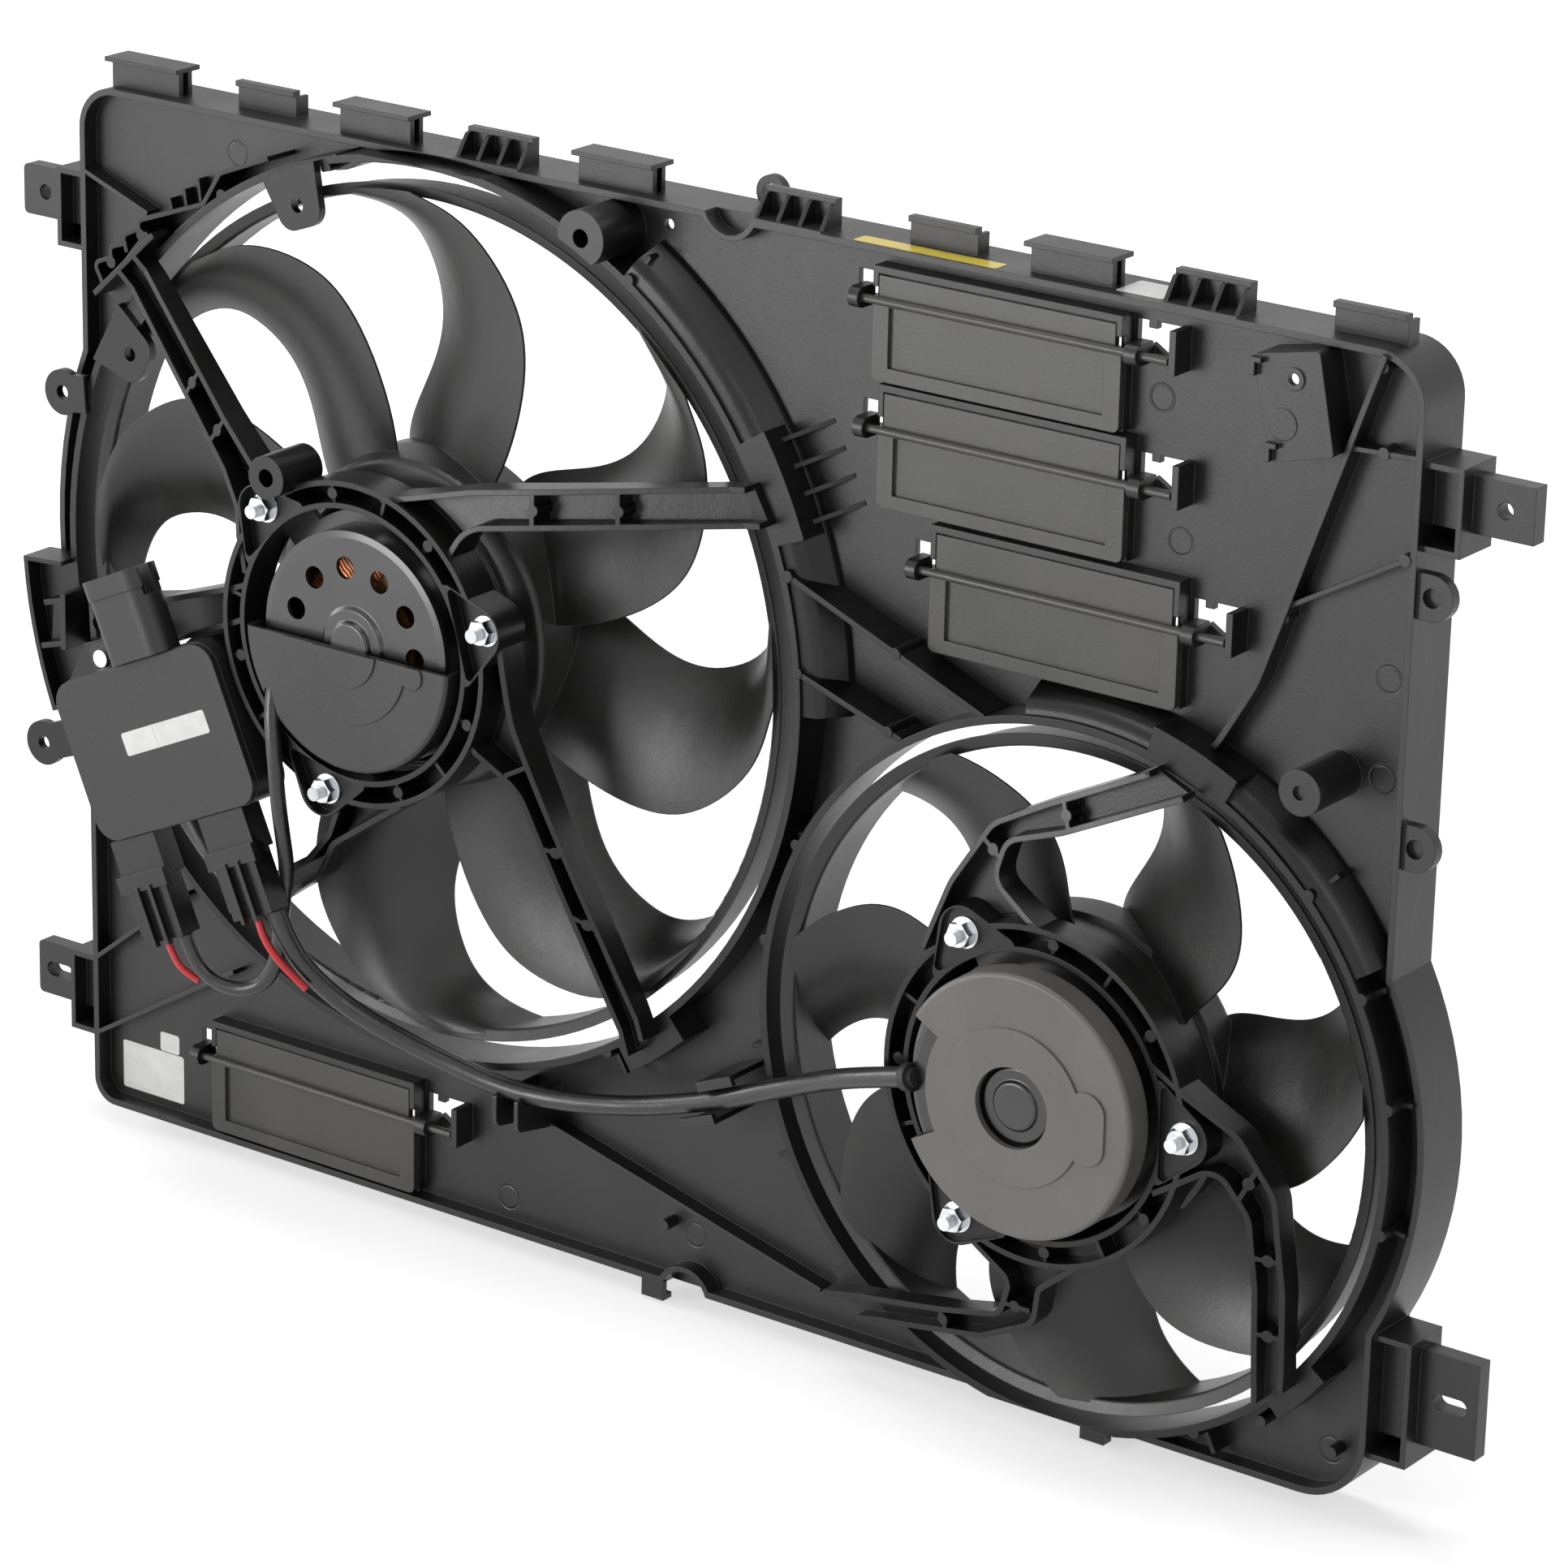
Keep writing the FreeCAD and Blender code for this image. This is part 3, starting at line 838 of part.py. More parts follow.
def module():
    """The fan control module, drawn square and then tilted with everything on it."""
    u, w = MODULE
    half_width, half_height = MODULE_WIDTH / 2, MODULE_HEIGHT / 2

    def tilted(shape):
        return turned(shape, MODULE, MODULE_TILT)

    def panel(grow, front, back, radius):
        return pad(u, w, half_width + grow, half_height + grow, radius, front, back)

    lid_back = MODULE_FRONT + LID_EDGE
    lid = panel(0, MODULE_FRONT, lid_back, 11).fuse(panel(-4, lid_back, lid_back + 2, 7))
    save("module_lid", tilted(lid))
    box = panel(0.5, lid_back, MODULE_BACK, 11.5).cut(panel(-4, lid_back - 1, MODULE_BACK - 3, 7))
    for lug_u, lug_w in MODULE_LUGS:
        lug = pad(u + lug_u, w + lug_w, 7, 7, 3, MODULE_BACK - 4, MODULE_BACK)
        box = box.fuse(lug).cut(disc((u + lug_u, w + lug_w), SCREW + 0.3, MODULE_BACK - 5, MODULE_BACK + 1))
    save("module_housing", tilted(box))
    board = block(u - 42, u + 42, w - 29, w + 29, MODULE_FRONT + 9, MODULE_FRONT + 10.6)
    chips = [block(u - 30 + 22 * step, u - 16 + 22 * step, w - 6, w + 10, MODULE_FRONT + 6.5, MODULE_FRONT + 9)
             for step in range(3)]
    posts = [block(x - 2, x + 2, z - 2, z + 2, MODULE_FRONT + 10.6, MODULE_BACK - 3)
             for x in (u - 38, u + 38) for z in (w - 26, w + 26)]
    save("module_board", tilted(board.fuse(chips + posts)))
    foot = w + half_height + 0.5

    def barrel(grow, low, high):
        bend = 9 + grow
        corners = [(u - 9 - grow, MODULE_FRONT - 5 - grow, bend), (u + 27 + grow, MODULE_FRONT - 5 - grow, bend),
                   (u + 27 + grow, HEADER_BACK + grow, bend), (u - 9 - grow, HEADER_BACK + grow, bend)]
        return outline(corners, lambda x, depth: V(x, depth, low)).extrude(V(0, 0, high - low))

    pins = [block(u - 4 + 9 * step, u - 2 + 9 * step, foot + 9, foot + 32, MODULE_FRONT + 1, MODULE_FRONT + 2)
            for step in range(4)]
    header = barrel(0, foot, foot + 31).fuse(barrel(0.8, foot + 30, foot + 39))
    header = header.cut([barrel(-2.2, foot + 11, foot + 45),
                         block(u + 24, u + 40, foot + 26, foot + 45, MODULE_FRONT - 1, HEADER_BACK - 4)])
    save("module_header", tilted(header.fuse(pins)))
    for name, shift in (("left_plug", -34.0), ("right_plug", 23.0)):
        x = u + shift
        low = w - half_height - 0.5
        body = [block(x - 14, x + 14, low - 20, low, MODULE_FRONT + 2, PLUG_BACK),
                block(x - 12, x + 12, low - 48, low - 20, MODULE_FRONT + 1, PLUG_BACK - 1),
                block(x - 16, x - 12, low - 44, low - 17, MODULE_FRONT + 4, PLUG_BACK - 3),
                block(x + 3, x + 5, low - 50, low - 22, MODULE_FRONT - 2, MODULE_FRONT + 1),
                block(x - 5, x - 3, low - 50, low - 22, MODULE_FRONT - 2, MODULE_FRONT + 1),
                block(x - 15, x + 15, low - 24, low - 16, MODULE_FRONT - 1, MODULE_FRONT + 3)]
        save(name, tilted(fused(body)))
    shelf = tilted(plate([(u - 62, w + 15, 5), (u - 62, w + 34, 5), (u - 42, w + 50, 5), (u - 14, w + 50, 5),
                          (u - 5, w + 34, 5), (u - 5, w - 4, 5)], MODULE_BACK, MODULE_BACK + 3))
    legs = [rib(path, 3.0, MODULE_BACK + 1, DUCT_FRONT)
            for path in ([(22, 236), (22, 262)], [(46, 242), (46, 270)])]
    legs = fused(legs).cut(arm_limits("left"))
    holes = [tilted(disc((u + lug_u, w + lug_w), SCREW, MODULE_BACK - 1, MODULE_BACK + 4))
             for lug_u, lug_w in MODULE_LUGS]
    save("module_bracket", shelf.fuse(legs.Solids[:]).cut(holes))
    screws = [tilted(disc((u + lug_u, w + lug_w), SCREW, MODULE_BACK - 4, MODULE_BACK + 3).fuse(
        disc((u + lug_u, w + lug_w), 4.0, MODULE_BACK - 6, MODULE_BACK - 4))) for lug_u, lug_w in MODULE_LUGS]
    save("module_screws", Part.makeCompound(screws))


def leads():
    """The sleeved leads of both motors, the red wires at the plugs and the grommets at the motors."""
    save("right_motor_lead", tube(RIGHT_LEAD, LEAD_RADIUS))
    save("left_motor_lead", tube(LEFT_LEAD, LEFT_LEAD_RADIUS))
    save("plug_wires", Part.makeCompound([tube(places, WIRE) for places in WIRES]))
    before, end = [V(*place) for place in RIGHT_LEAD[-2:]]
    direction = (end - before).normalize()
    collar = Part.makeCylinder(6.0, 4.0, end, direction)
    save("right_motor_grommet", collar.fuse(Part.makeCylinder(4.0, 6.0, end, direction)).cut(
        disc(RIGHT_AXIS, MOTOR["right"]["can"], MOTOR["right"]["cap"], 0)))


os.makedirs("parts", exist_ok=True)
shroud_panel()
ducts()
left_carrier()
right_carrier()
for name in ("left", "right"):
    motor(name)
covers()
fans()
flaps()
module()
leads()
print(len(NODES), "nodes")
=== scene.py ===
import bpy
import bmesh
import json
import math
from mathutils import Matrix, Vector


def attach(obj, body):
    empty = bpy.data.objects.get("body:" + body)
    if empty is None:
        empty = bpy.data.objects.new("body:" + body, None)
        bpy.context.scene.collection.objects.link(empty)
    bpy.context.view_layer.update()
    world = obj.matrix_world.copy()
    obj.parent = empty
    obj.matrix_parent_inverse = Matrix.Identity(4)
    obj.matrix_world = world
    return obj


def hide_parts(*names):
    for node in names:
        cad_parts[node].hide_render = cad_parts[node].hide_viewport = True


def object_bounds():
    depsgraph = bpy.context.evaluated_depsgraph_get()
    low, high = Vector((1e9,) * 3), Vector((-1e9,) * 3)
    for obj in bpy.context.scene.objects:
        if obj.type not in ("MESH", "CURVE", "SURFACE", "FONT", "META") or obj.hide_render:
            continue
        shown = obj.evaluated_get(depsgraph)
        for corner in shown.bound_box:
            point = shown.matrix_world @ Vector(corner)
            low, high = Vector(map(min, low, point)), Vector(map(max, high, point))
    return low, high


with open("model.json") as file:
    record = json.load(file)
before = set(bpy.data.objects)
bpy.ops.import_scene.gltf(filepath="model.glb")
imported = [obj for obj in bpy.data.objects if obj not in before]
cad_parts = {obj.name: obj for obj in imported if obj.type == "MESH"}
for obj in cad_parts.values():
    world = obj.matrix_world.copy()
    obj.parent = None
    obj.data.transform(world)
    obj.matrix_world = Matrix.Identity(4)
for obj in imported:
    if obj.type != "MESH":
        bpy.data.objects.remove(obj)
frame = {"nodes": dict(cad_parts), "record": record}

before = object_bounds()
MM = 0.001

# The drawing's own zero is the shroud's lower left front corner.
# The part's origin is midway between the holes of the upper ears, here in the drawing's millimetres.
ORIGIN = Vector((345.0, 11.0, 428.0))

# Depth of the panel's front face, and of the module's, and the height of the top flange
PANEL = 8.0
MODULE_FACE = -62.0
FLANGE = 485.0

# Round marks of the ejector pins on the panel: their radius and line in metres, their places as x and z
EJECTOR_RADIUS = 0.0055
EJECTOR_LINE = (0.0002, 0.0007)
EJECTOR_DEPTH = 0.0002
EJECTOR_MARKS = ((85.9, 465.0), (566.6, 444.8), (578.2, 387.6), (676.5, 351.3), (675.7, 310.3),
                 (241.0, 13.4), (345.3, 24.0), (669.7, 19.0))

# Plastics and rubber: dark and light colour, roughness, and what else differs from plain plastic
MOULDED = {
    # shroud_plastic is a darker, less glossy copy of the panel's plastic: painted shade for the webs of the
    # arms and for the ducts
    "shroud_plastic": {"dark": (0.0040, 0.0038, 0.0036), "light": (0.0105, 0.0100, 0.0095), "rough": 0.32,
                       "specular": 0.38},
    # The panel's copy of the same plastic is lighter and glossier: a painted lit copy
    "panel_plastic_lit": {"dark": (0.0060, 0.0057, 0.0054), "light": (0.0145, 0.0138, 0.0131), "rough": 0.37,
                      "marks": EJECTOR_MARKS},
    "fan_plastic": {"dark": (0.0055, 0.0053, 0.0050), "light": (0.0260, 0.0247, 0.0234), "rough": 0.38},
    "cover_plastic": {"dark": (0.0120, 0.0116, 0.0112), "light": (0.0240, 0.0232, 0.0224), "rough": 0.38,
                      "grain": 0.00006},
    "pale_cover": {"dark": (0.1050, 0.1020, 0.0980), "light": (0.1750, 0.1700, 0.1640), "rough": 0.42,
                   "grain": 0.00008},
    "flap_plastic": {"dark": (0.0320, 0.0305, 0.0290), "light": (0.0640, 0.0610, 0.0585), "rough": 0.33},
    "module_plastic": {"dark": (0.0080, 0.0078, 0.0077), "light": (0.0160, 0.0157, 0.0154), "rough": 0.46,
                       "grain": 0.00008},
    "plug_plastic": {"dark": (0.0045, 0.0044, 0.0043), "light": (0.0105, 0.0102, 0.0099), "rough": 0.33,
                     "edge": 0.0004},
    "grommet_rubber": {"dark": (0.004, 0.004, 0.004), "light": (0.010, 0.010, 0.010), "rough": 0.55},
}

# Bare and plated metals: dark and light colour, roughness
METALS = {
    "zinc_steel": ((0.50, 0.52, 0.55), (0.78, 0.80, 0.82), 0.26),
    "bright_steel": ((0.42, 0.42, 0.43), (0.62, 0.62, 0.62), 0.30),
    "lamination_steel": ((0.10, 0.10, 0.10), (0.22, 0.21, 0.20), 0.42),
    "copper_bar": ((0.55, 0.22, 0.10), (0.80, 0.38, 0.20), 0.28),
    "bronze": ((0.38, 0.24, 0.10), (0.56, 0.38, 0.18), 0.40),
}

# Close-grained plain materials: dark and light colour
LAMINATES = {
    "ferrite": ((0.030, 0.030, 0.032), (0.060, 0.060, 0.062)),
    "card": ((0.16, 0.08, 0.03), (0.26, 0.14, 0.06)),
    "circuit_board": ((0.005, 0.05, 0.02), (0.012, 0.09, 0.035)),
    "red_wire": ((0.42, 0.006, 0.012), (0.62, 0.012, 0.02)),
}

PAPERS = {"white_paper": (0.78, 0.78, 0.77), "yellow_paper": (0.80, 0.62, 0.06)}
THREAD_PITCH = 0.001

# Nodes whose finish has more to it than that of their slot in the record; the panel's plastic is also a
# lighter, glossier copy of the shroud's plastic, a painted lit copy
SPECIAL = {"shroud_panel": "panel_plastic_lit", "left_motor_studs": "threaded_steel",
           "right_motor_studs": "threaded_steel", "right_motor_cover": "pale_cover"}

# Leads and wires: the slot, the node that each replaces, its radius and its runs of (x, depth, z) places
LEADS = {
    "right_lead": ("sleeve", "right_motor_lead", 4.5, [[
        (157.7, -53, 147.9), (163, -52, 134), (172, -45, 117), (190, -34, 100), (222, -22.5, 86),
        (264, -15, 76), (318, -14, 84), (371, -15, 101), (420, -22, 124), (460, -38, 143), (490, -44, 152.5)]]),
    "left_lead": ("sleeve", "left_motor_lead", 3.5, [[
        (104.9, -53, 123.9), (108.5, -52, 112), (117.5, -49, 103), (130, -45, 100.5), (141.5, -42, 106),
        (148.5, -42, 117.5), (151.5, -43, 132), (154, -44, 148), (158.3, -45.8, 165), (161, -52, 183),
        (164.5, -59, 202), (164.5, -61, 221), (162, -60, 238), (160, -57.2, 247), (160.2, -56.5, 252.5)]]),
    "red_wires": ("red_wire", "plug_wires", 1.8, [
        [(151.4, -58, 145), (154.7, -59, 137.7), (161, -58, 129), (168, -55, 121), (174, -51.5, 114.5)],
        [(94, -53, 119), (97.3, -53, 111.7), (103, -52.5, 105.5), (110, -50, 102)]]),
}

# Blank labels: material, centre, width and height, and the face that each lies on
LABELS = {
    "label_large": ("white_paper", (29.7, PANEL, 18.8), (37.4, 23.4), "panel"),
    "label_small": ("white_paper", (39.9, PANEL, 35.6), (11.6, 9.4), "panel"),
    "label_yellow": ("yellow_paper", (455.0, 5.6, FLANGE), (70.0, 8.6), "flange"),
    "label_flange": ("white_paper", (555.0, 15.0, FLANGE), (22.0, 19.0), "flange"),
    "label_module": ("white_paper", (102.2, MODULE_FACE, 220.2), (53.0, 10.6), "module"),
    "label_module_over": ("white_paper", (90.5, MODULE_FACE - 0.15, 214.8), (13.0, 10.4), "module"),
}
LABEL_THICK = 0.15
LABEL_CORNER = 1.2
CORNER_STEPS = 4
MODULE_TILT = math.radians(24.6)

# The photograph's camera, worked out in the drawing's millimetres and the picture's 1932 pixels
CAMERA_AT = (1820.97, -1974.89, 1113.32)
AZIMUTH = 36.02
ELEVATION = 19.37
ROLL = 1.26
FOCAL_PIXELS = 7608.0
PICTURE = 1932.0
CENTRE_PIXEL = (948.0, 935.9)
SENSOR = 36.0

# The stage in metres. The floor's own light grows from NEAR to FAR, so the shadow under the part stays.
FLOOR_SIZE = 14
FLOOR_DROP = 0.002
FLOOR_GREY = 0.86
NEAR = (0.5, 0.58)
FAR = (2.2, 1.0)
WORLD_FILL = 0.12
LAMPS = {                 # place, width and watts
    "front_left": ((-1.2, -2.3, 0.06), 1.1, 34),
    "left": ((-2.4, -0.6, 0.45), 1.1, 20),
    "front_right": ((2.0, -1.6, 1.4), 1.2, 8),
    "top": ((-0.1, 0.1, 2.4), 1.8, 36),
}
LAMP_AIM = Vector((0, 0, -0.2))


def at(x, depth, z):
    """A place in the drawing as a place in the part, in metres."""
    return (Vector((x, depth, z)) - ORIGIN) * MM


def place_in_scene(name, data):
    piece = bpy.data.objects.new(name, data)
    bpy.context.scene.collection.objects.link(piece)
    return piece


class Value:
    """A number that changes over a surface; sums and products of values add their Math nodes."""

    def __init__(self, nodes, socket):
        self.nodes = nodes
        self.socket = socket

    def math(self, operation, first, second=0.0):
        node = self.nodes.node("ShaderNodeMath", {"operation": operation}, {0: first, 1: second})
        return Value(self.nodes, node.outputs[0])

    def __add__(self, other):
        return self.math("ADD", self, other)

    def __radd__(self, other):
        return self.math("ADD", other, self)

    def __sub__(self, other):
        return self.math("SUBTRACT", self, other)

    def __rsub__(self, other):
        return self.math("SUBTRACT", other, self)

    def __mul__(self, other):
        return self.math("MULTIPLY", self, other)

    def __rmul__(self, other):
        return self.math("MULTIPLY", other, self)

    def most(self, other):
        return self.math("MAXIMUM", self, other)

    def root(self):
        return self.math("SQRT", self)

    def size(self):
        return self.math("ABSOLUTE", self)


class Nodes:
    """The nodes of a material or of the world, and the shader that they feed."""

    def __init__(self, owner, shader):
        owner.use_nodes = True
        self.tree = owner.node_tree
        self.shader = self.tree.nodes[shader]

    def node(self, kind, settings, inputs):
        made = self.tree.nodes.new(kind)
        for key, value in settings.items():
            setattr(made, key, value)
        for key, value in inputs.items():
            self.feed(made, key, value)
        return made

    def feed(self, node, key, value):
        """Sets an input of a node, or links it where the value changes over the surface."""
        if isinstance(value, Value):
            value = value.socket
        if isinstance(value, bpy.types.NodeSocket):
            self.tree.links.new(value, node.inputs[key])
        else:
            node.inputs[key].default_value = value

    def put(self, name, value):
        self.feed(self.shader, name, value)

    def spread(self, value, low, high, start=0.0, end=1.0):
        """The value's range from low to high becomes start to end."""
        made = self.node("ShaderNodeMapRange", {"clamp": True},
                         {"Value": value, "From Min": low, "From Max": high, "To Min": start, "To Max": end})
        return Value(self, made.outputs["Result"])

    def blend(self, amount, first, second):
        """A colour between two, given as red, green and blue."""
        made = self.node("ShaderNodeMix", {"data_type": "RGBA"},
                         {"Factor": amount, 6: (*first, 1.0), 7: (*second, 1.0)})
        return made.outputs[2]

    def seen(self):
        """1 for what the camera sees, also in a gloss or through something, and 0 for the light that falls."""
        path = self.node("ShaderNodeLightPath", {}, {})
        direct, glossy, through = (Value(self, path.outputs["Is %s Ray" % kind])
                                   for kind in ("Camera", "Glossy", "Transmission"))
        return direct.most(glossy).most(through)


class Finish(Nodes):
    """One material: its colour, gloss and relief."""

    def __init__(self, name, metallic=0.0, coat=0.0, coat_roughness=0.1, specular=0.5):
        self.material = bpy.data.materials.new(name)
        super().__init__(self.material, "Principled BSDF")
        self.put("Metallic", metallic)
        self.put("Specular IOR Level", specular)
        self.put("Coat Weight", coat)
        self.put("Coat Roughness", coat_roughness)
        self.place = self.node("ShaderNodeTexCoord", {}, {}).outputs["Object"]

    def noise(self, scale, detail=3.0, roughness=0.5, stretch=(1, 1, 1)):
        """Soft noise from 0 to 1, with features per metre, stretched along an axis by a small factor there."""
        spread = self.node("ShaderNodeMapping", {}, {"Vector": self.place, "Scale": stretch}).outputs[0]
        made = self.node("ShaderNodeTexNoise", {},
                         {"Vector": spread, "Scale": scale, "Detail": detail, "Roughness": roughness})
        return Value(self, made.outputs["Fac"])

    def wave(self, direction, scale, distortion):
        made = self.node("ShaderNodeTexWave", {"bands_direction": direction},
                         {"Vector": self.place, "Scale": scale, "Distortion": distortion})
        return Value(self, made.outputs["Fac"])

    def along(self, axis):
        """The place along the part's X, Y or Z, in metres."""
        parts = self.node("ShaderNodeSeparateXYZ", {}, {"Vector": self.place})
        return Value(self, parts.outputs[axis])

    def colour(self, amount, dark, light):
        self.put("Base Color", self.blend(amount, dark, light))

    def gloss(self, amount, low, high, smooth, rough):
        self.put("Roughness", self.spread(amount, low, high, smooth, rough))

    def relief(self, height, edge=0.0):
        """Raises the surface by the height in metres, and rounds the look of sharp edges by a radius."""
        inputs = {"Height": height, "Distance": 1.0, "Strength": 1.0}
        if edge:
            inputs["Normal"] = self.node("ShaderNodeBevel", {"samples": 4}, {"Radius": edge}).outputs[0]
        self.put("Normal", self.node("ShaderNodeBump", {}, inputs).outputs[0])


def moulded(name, dark, light, rough, grain=0.00004, edge=0.0006, marks=(), specular=0.5):
    """Black moulded plastic: fine grain, cloudy gloss, soft edges, and round ejector marks if it has any."""
    made = Finish(name, specular=specular)
    cloud = made.noise(9.0, 4.0)
    smear = made.noise(26.0, 5.0, 0.6, stretch=(1.0, 1.0, 0.4))
    fine = made.noise(900.0, 2.0)
    haze = made.spread(cloud * 0.6 + smear * 0.4, 0.38, 0.66)
    made.colour(haze * 0.75 + fine * 0.25, dark, light)
    made.gloss(cloud * 0.4 + smear * 0.4 + fine * 0.2, 0.35, 0.65, rough - 0.07, rough + 0.09)
    height = fine * grain + smear * 0.0003
    for x, z in marks:
        mark = at(x, PANEL, z)
        across = made.along(0) - mark.x
        up = made.along(2) - mark.z
        distance = (across * across + up * up).root()
        line = made.spread((distance - EJECTOR_RADIUS).size(), *EJECTOR_LINE, 1.0, 0.0)
        height = height + line * -EJECTOR_DEPTH
    made.relief(height, edge)
    return made.material


def metal(name, dark, light, rough):
    """Bare or plated metal with a little unevenness."""
    made = Finish(name, metallic=1.0)
    cloud = made.noise(60.0)
    made.colour(cloud, dark, light)
    made.gloss(cloud, 0.3, 0.7, rough - 0.07, rough + 0.08)
    made.relief(made.noise(1200.0, 2.0) * 0.00001, 0.0003)
    return made.material


def threaded_steel():
    """Plated steel with a thread cut along the part's depth; a wave of scale 1 repeats each tau / 20."""
    made = Finish("threaded_steel", metallic=1.0)
    cloud = made.noise(80.0)
    groove = made.wave("Y", math.tau / 20 / THREAD_PITCH, 0.0)
    # The thread's troughs are painted darker than its crests: painted shade in the thread
    made.colour(groove * 0.6 + cloud * 0.4, (0.34, 0.35, 0.37), (0.78, 0.80, 0.82))
    made.gloss(cloud, 0.3, 0.7, 0.22, 0.36)
    made.relief(groove * 0.0004)
    return made.material


def black_steel():
    """Painted steel."""
    made = Finish("black_steel", coat=0.5, coat_roughness=0.18)
    cloud = made.noise(30.0)
    made.colour(cloud, (0.006, 0.006, 0.006), (0.015, 0.014, 0.014))
    made.gloss(cloud, 0.3, 0.7, 0.26, 0.38)
    made.relief(made.noise(250.0, 2.0) * 0.00002, 0.0004)
    return made.material


def copper_wire():
    """Enamelled wire in the slots: fine turns side by side."""
    made = Finish("copper_wire", metallic=0.35, coat=0.4)
    groove = made.wave("DIAGONAL", 220.0, 3.0)
    # The gaps between the turns are painted darker than their tops: painted shade between the turns
    made.colour(groove, (0.22, 0.05, 0.015), (0.75, 0.24, 0.08))
    made.gloss(groove, 0.0, 1.0, 0.45, 0.28)
    made.relief(groove * 0.0002)
    return made.material


def sleeve():
    """Soft shrink sleeve: smooth, with long shallow creases."""
    made = Finish("sleeve", coat=0.25, coat_roughness=0.25)
    crease = made.noise(70.0, 4.0, 0.6, stretch=(0.3, 1.0, 1.0))
    made.colour(crease, (0.007, 0.007, 0.007), (0.020, 0.019, 0.019))
    made.gloss(crease, 0.3, 0.7, 0.26, 0.42)
    made.relief(crease * 0.0010)
    return made.material


def paper(name, colour):
    """Label paper, a little worn."""
    made = Finish(name, coat=0.3, coat_roughness=0.2)
    cloud = made.noise(140.0, 4.0)
    dull = tuple(part * 0.88 for part in colour)
    made.colour(made.spread(cloud, 0.35, 0.7), dull, colour)
    made.gloss(cloud, 0.3, 0.7, 0.32, 0.48)
    made.relief(cloud * 0.00003)
    return made.material


def laminate(name, dark, light):
    """Close-grained board, ceramic or cable covering."""
    made = Finish(name, coat=0.2)
    weave = made.noise(700.0, 2.0)
    made.colour(weave, dark, light)
    made.gloss(weave, 0.3, 0.7, 0.35, 0.5)
    made.relief(weave * 0.00003)
    return made.material


def all_materials():
    """Every material by its name."""
    made = {name: moulded(name, **facts) for name, facts in MOULDED.items()}
    made.update({name: metal(name, *facts) for name, facts in METALS.items()})
    made.update({name: laminate(name, *facts) for name, facts in LAMINATES.items()})
    made.update({name: paper(name, colour) for name, colour in PAPERS.items()})
    made.update(threaded_steel=threaded_steel(), black_steel=black_steel(), copper_wire=copper_wire(),
                sleeve=sleeve())
    return made


def dress_nodes(materials):
    """Every solid of the frame takes its material from its slot in the record."""
    for entry in frame["record"]["subparts"]:
        piece = frame["nodes"][entry["node"]]
        piece.data.materials.clear()
        piece.data.materials.append(materials[SPECIAL.get(entry["node"], entry["material_slot"])])


def lead(name, node, radius, runs, material):
    """Smooth leads or wires in place of a node: each run is a list of (x, depth, z) places."""
    data = bpy.data.curves.new(name, "CURVE")
    data.dimensions = "3D"
    data.bevel_depth = radius * MM
    data.bevel_resolution = 6
    data.resolution_u = 16
    data.use_fill_caps = True
    for run in runs:
        spline = data.splines.new("NURBS")
        spline.points.add(len(run) - 1)
        for point, place in zip(spline.points, run):
            point.co = (*at(*place), 1.0)
        spline.order_u = 3
        spline.use_endpoint_u = True
    data.materials.append(material)
    piece = place_in_scene(name, data)
    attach(piece, "shroud")
    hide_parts(node)


def label(name, centre, size, across, up, material):
    """A blank label: a thin plate with rounded corners, its back on the surface at the centre."""
    across = Vector(across)
    up = Vector(up)
    half_width = size[0] / 2 - LABEL_CORNER
    half_height = size[1] / 2 - LABEL_CORNER
    mesh = bmesh.new()
    rim = []
    for quarter, (side, level) in enumerate(((1, 1), (-1, 1), (-1, -1), (1, -1))):
        for step in range(CORNER_STEPS + 1):
            angle = math.radians(90 * (quarter + step / CORNER_STEPS))
            flat = across * (side * half_width + LABEL_CORNER * math.cos(angle))
            flat += up * (level * half_height + LABEL_CORNER * math.sin(angle))
            rim.append(mesh.verts.new(flat * MM + at(*centre)))
    face = mesh.faces.new(rim)
    raised = bmesh.ops.extrude_face_region(mesh, geom=[face])
    top = [part for part in raised["geom"] if isinstance(part, bmesh.types.BMVert)]
    bmesh.ops.translate(mesh, verts=top, vec=across.cross(up) * LABEL_THICK * MM)
    bmesh.ops.recalc_face_normals(mesh, faces=mesh.faces)
    data = bpy.data.meshes.new(name)
    mesh.to_mesh(data)
    mesh.free()
    data.materials.append(material)
    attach(place_in_scene(name, data), "shroud")


def labels(materials):
    """The blank labels on the panel, the top flange and the module."""
    tilt = (math.cos(MODULE_TILT), math.sin(MODULE_TILT))
    faces = {                 # the directions across and up each face
        "panel": ((1, 0, 0), (0, 0, 1)),
        "flange": ((1, 0, 0), (0, 1, 0)),
        "module": ((tilt[0], 0, tilt[1]), (-tilt[1], 0, tilt[0])),
    }
    for name, (material, centre, size, face) in LABELS.items():
        label(name, centre, size, *faces[face], materials[material])


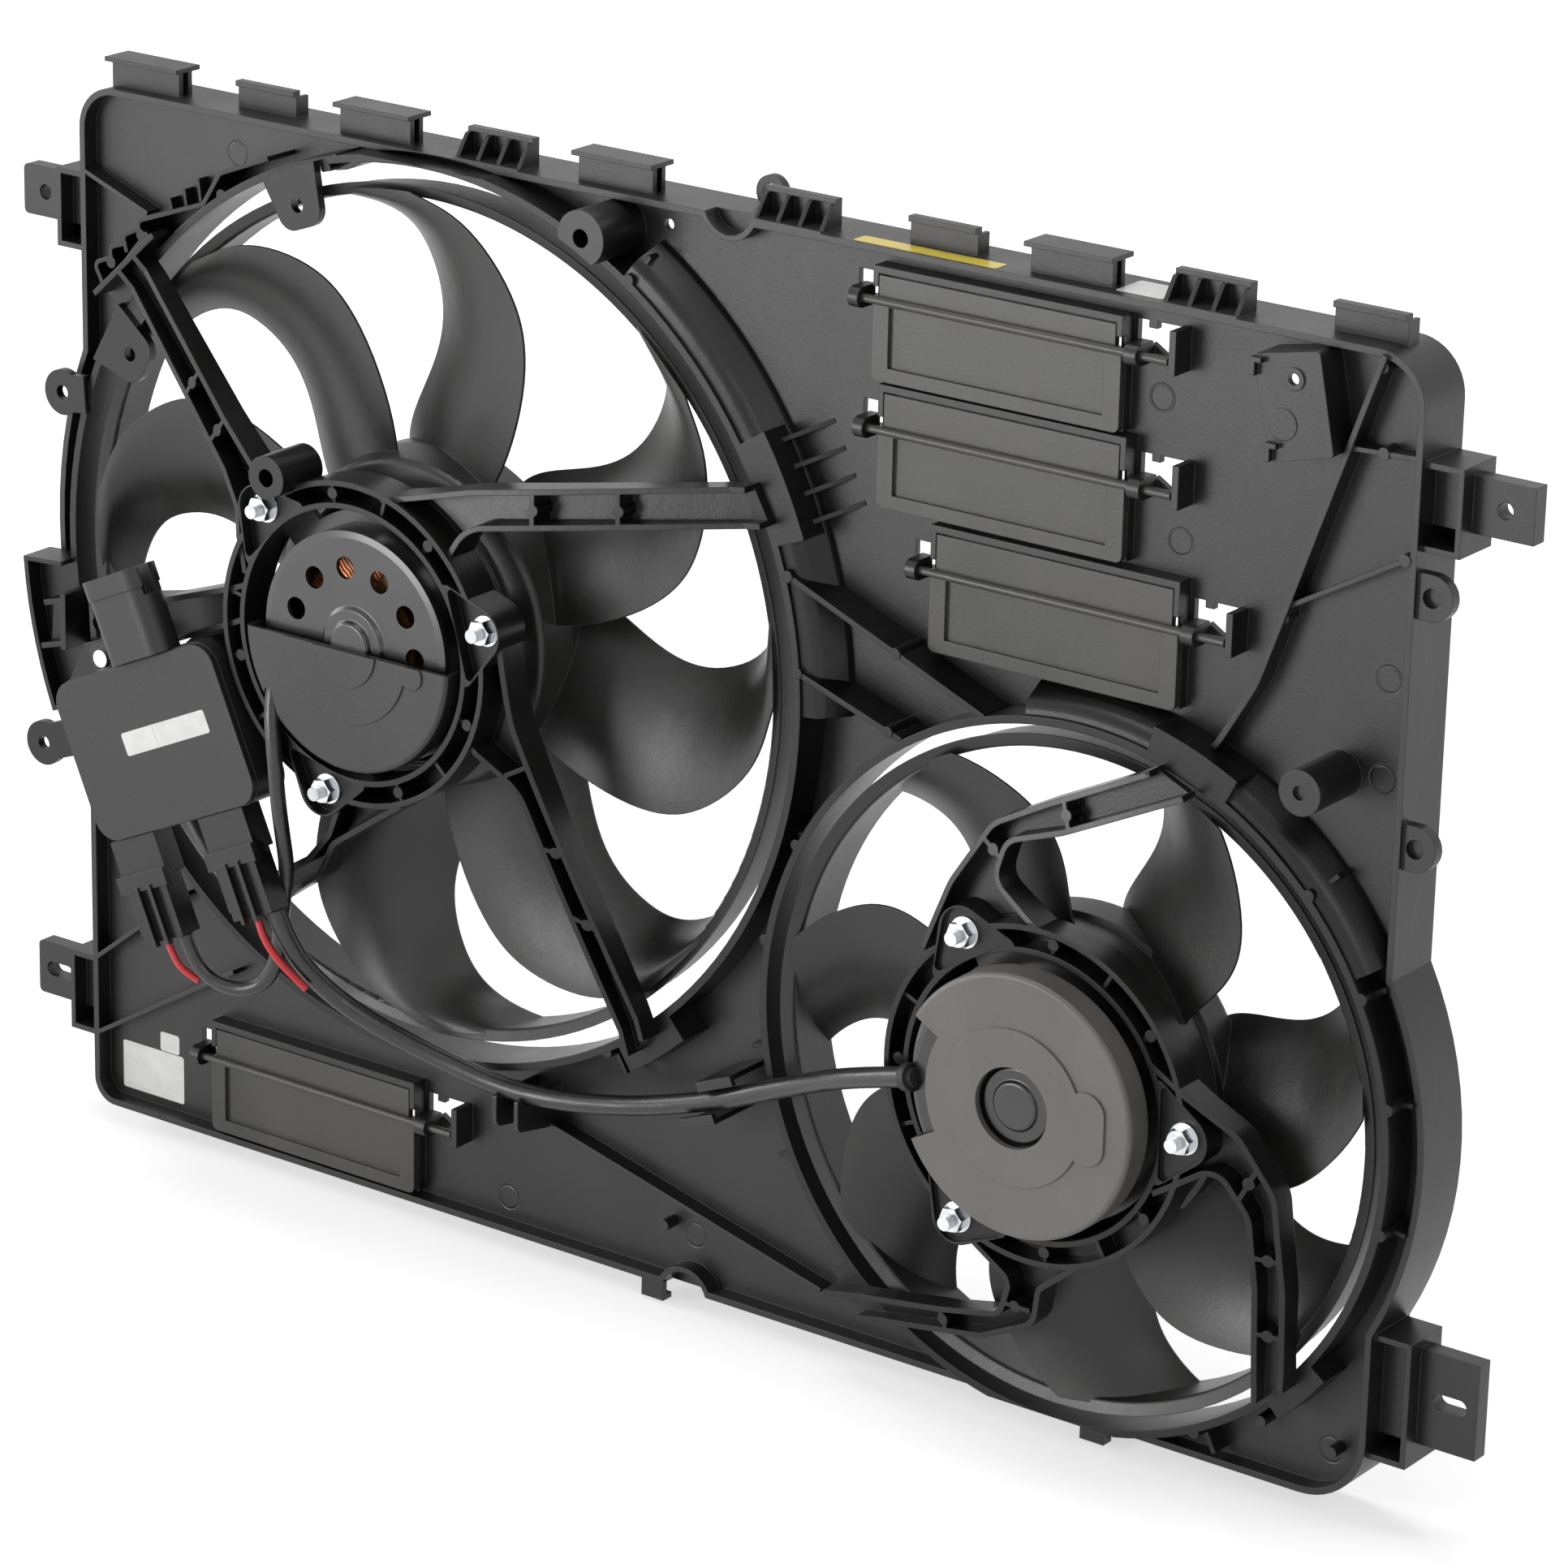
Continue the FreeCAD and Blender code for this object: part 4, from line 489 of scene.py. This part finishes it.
def camera():
    """The photograph's camera."""
    azimuth, elevation, roll = (math.radians(angle) for angle in (AZIMUTH, ELEVATION, ROLL))
    level = math.cos(elevation)
    back = Vector((math.sin(azimuth) * level, -math.cos(azimuth) * level, math.sin(elevation)))
    right = Vector((math.cos(azimuth), math.sin(azimuth), 0))
    up = back.cross(right)
    across = math.cos(roll) * right + math.sin(roll) * up
    above = -math.sin(roll) * right + math.cos(roll) * up
    data = bpy.data.cameras.new("camera")
    data.sensor_width = SENSOR
    data.lens = FOCAL_PIXELS / PICTURE * SENSOR
    data.shift_x = (PICTURE / 2 - CENTRE_PIXEL[0]) / PICTURE
    data.shift_y = (CENTRE_PIXEL[1] - PICTURE / 2) / PICTURE
    made = place_in_scene("camera", data)
    turn = Matrix((across, above, back)).transposed().to_4x4()
    made.matrix_world = Matrix.Translation(at(*CAMERA_AT)) @ turn
    bpy.context.scene.camera = made


def lamp(name, place, width, watts):
    """A square soft lamp that looks at the part."""
    data = bpy.data.lights.new(name, "AREA")
    data.shape = "SQUARE"
    data.size = width
    data.energy = watts
    made = place_in_scene(name, data)
    made.location = place
    made.rotation_euler = (LAMP_AIM - Vector(place)).to_track_quat("-Z", "Y").to_euler()


def floor():
    """A pale floor that keeps the part's shadow and turns white away from it."""
    bpy.ops.mesh.primitive_plane_add(size=FLOOR_SIZE, location=(0, 0, before[0][2] - FLOOR_DROP))
    piece = bpy.context.object
    piece.name = "floor"
    made = Finish("floor_white")
    made.put("Base Color", (FLOOR_GREY, FLOOR_GREY, FLOOR_GREY, 1.0))
    made.put("Roughness", 0.9)
    away = (made.along(0) * made.along(0) + made.along(1) * made.along(1)).root()
    white = made.seen() * made.spread(away, NEAR[0], FAR[0], NEAR[1], FAR[1])
    made.put("Emission Color", made.blend(white, (0, 0, 0), (1, 1, 1)))
    made.put("Emission Strength", 1.0)
    piece.data.materials.append(made.material)


def sky():
    """A world that looks white and gives a low even light."""
    world = bpy.data.worlds.new("world")
    bpy.context.scene.world = world
    made = Nodes(world, "Background")
    made.put("Color", (1.0, 1.0, 1.0, 1.0))
    made.put("Strength", made.spread(made.seen(), 0.0, 1.0, WORLD_FILL, 1.0))


materials = all_materials()
dress_nodes(materials)
for name, (slot, node, radius, runs) in LEADS.items():
    lead(name, node, radius, runs, materials[slot])
labels(materials)
camera()
floor()
sky()
for name, facts in LAMPS.items():
    lamp(name, *facts)
bpy.context.scene.view_settings.view_transform = "Standard"
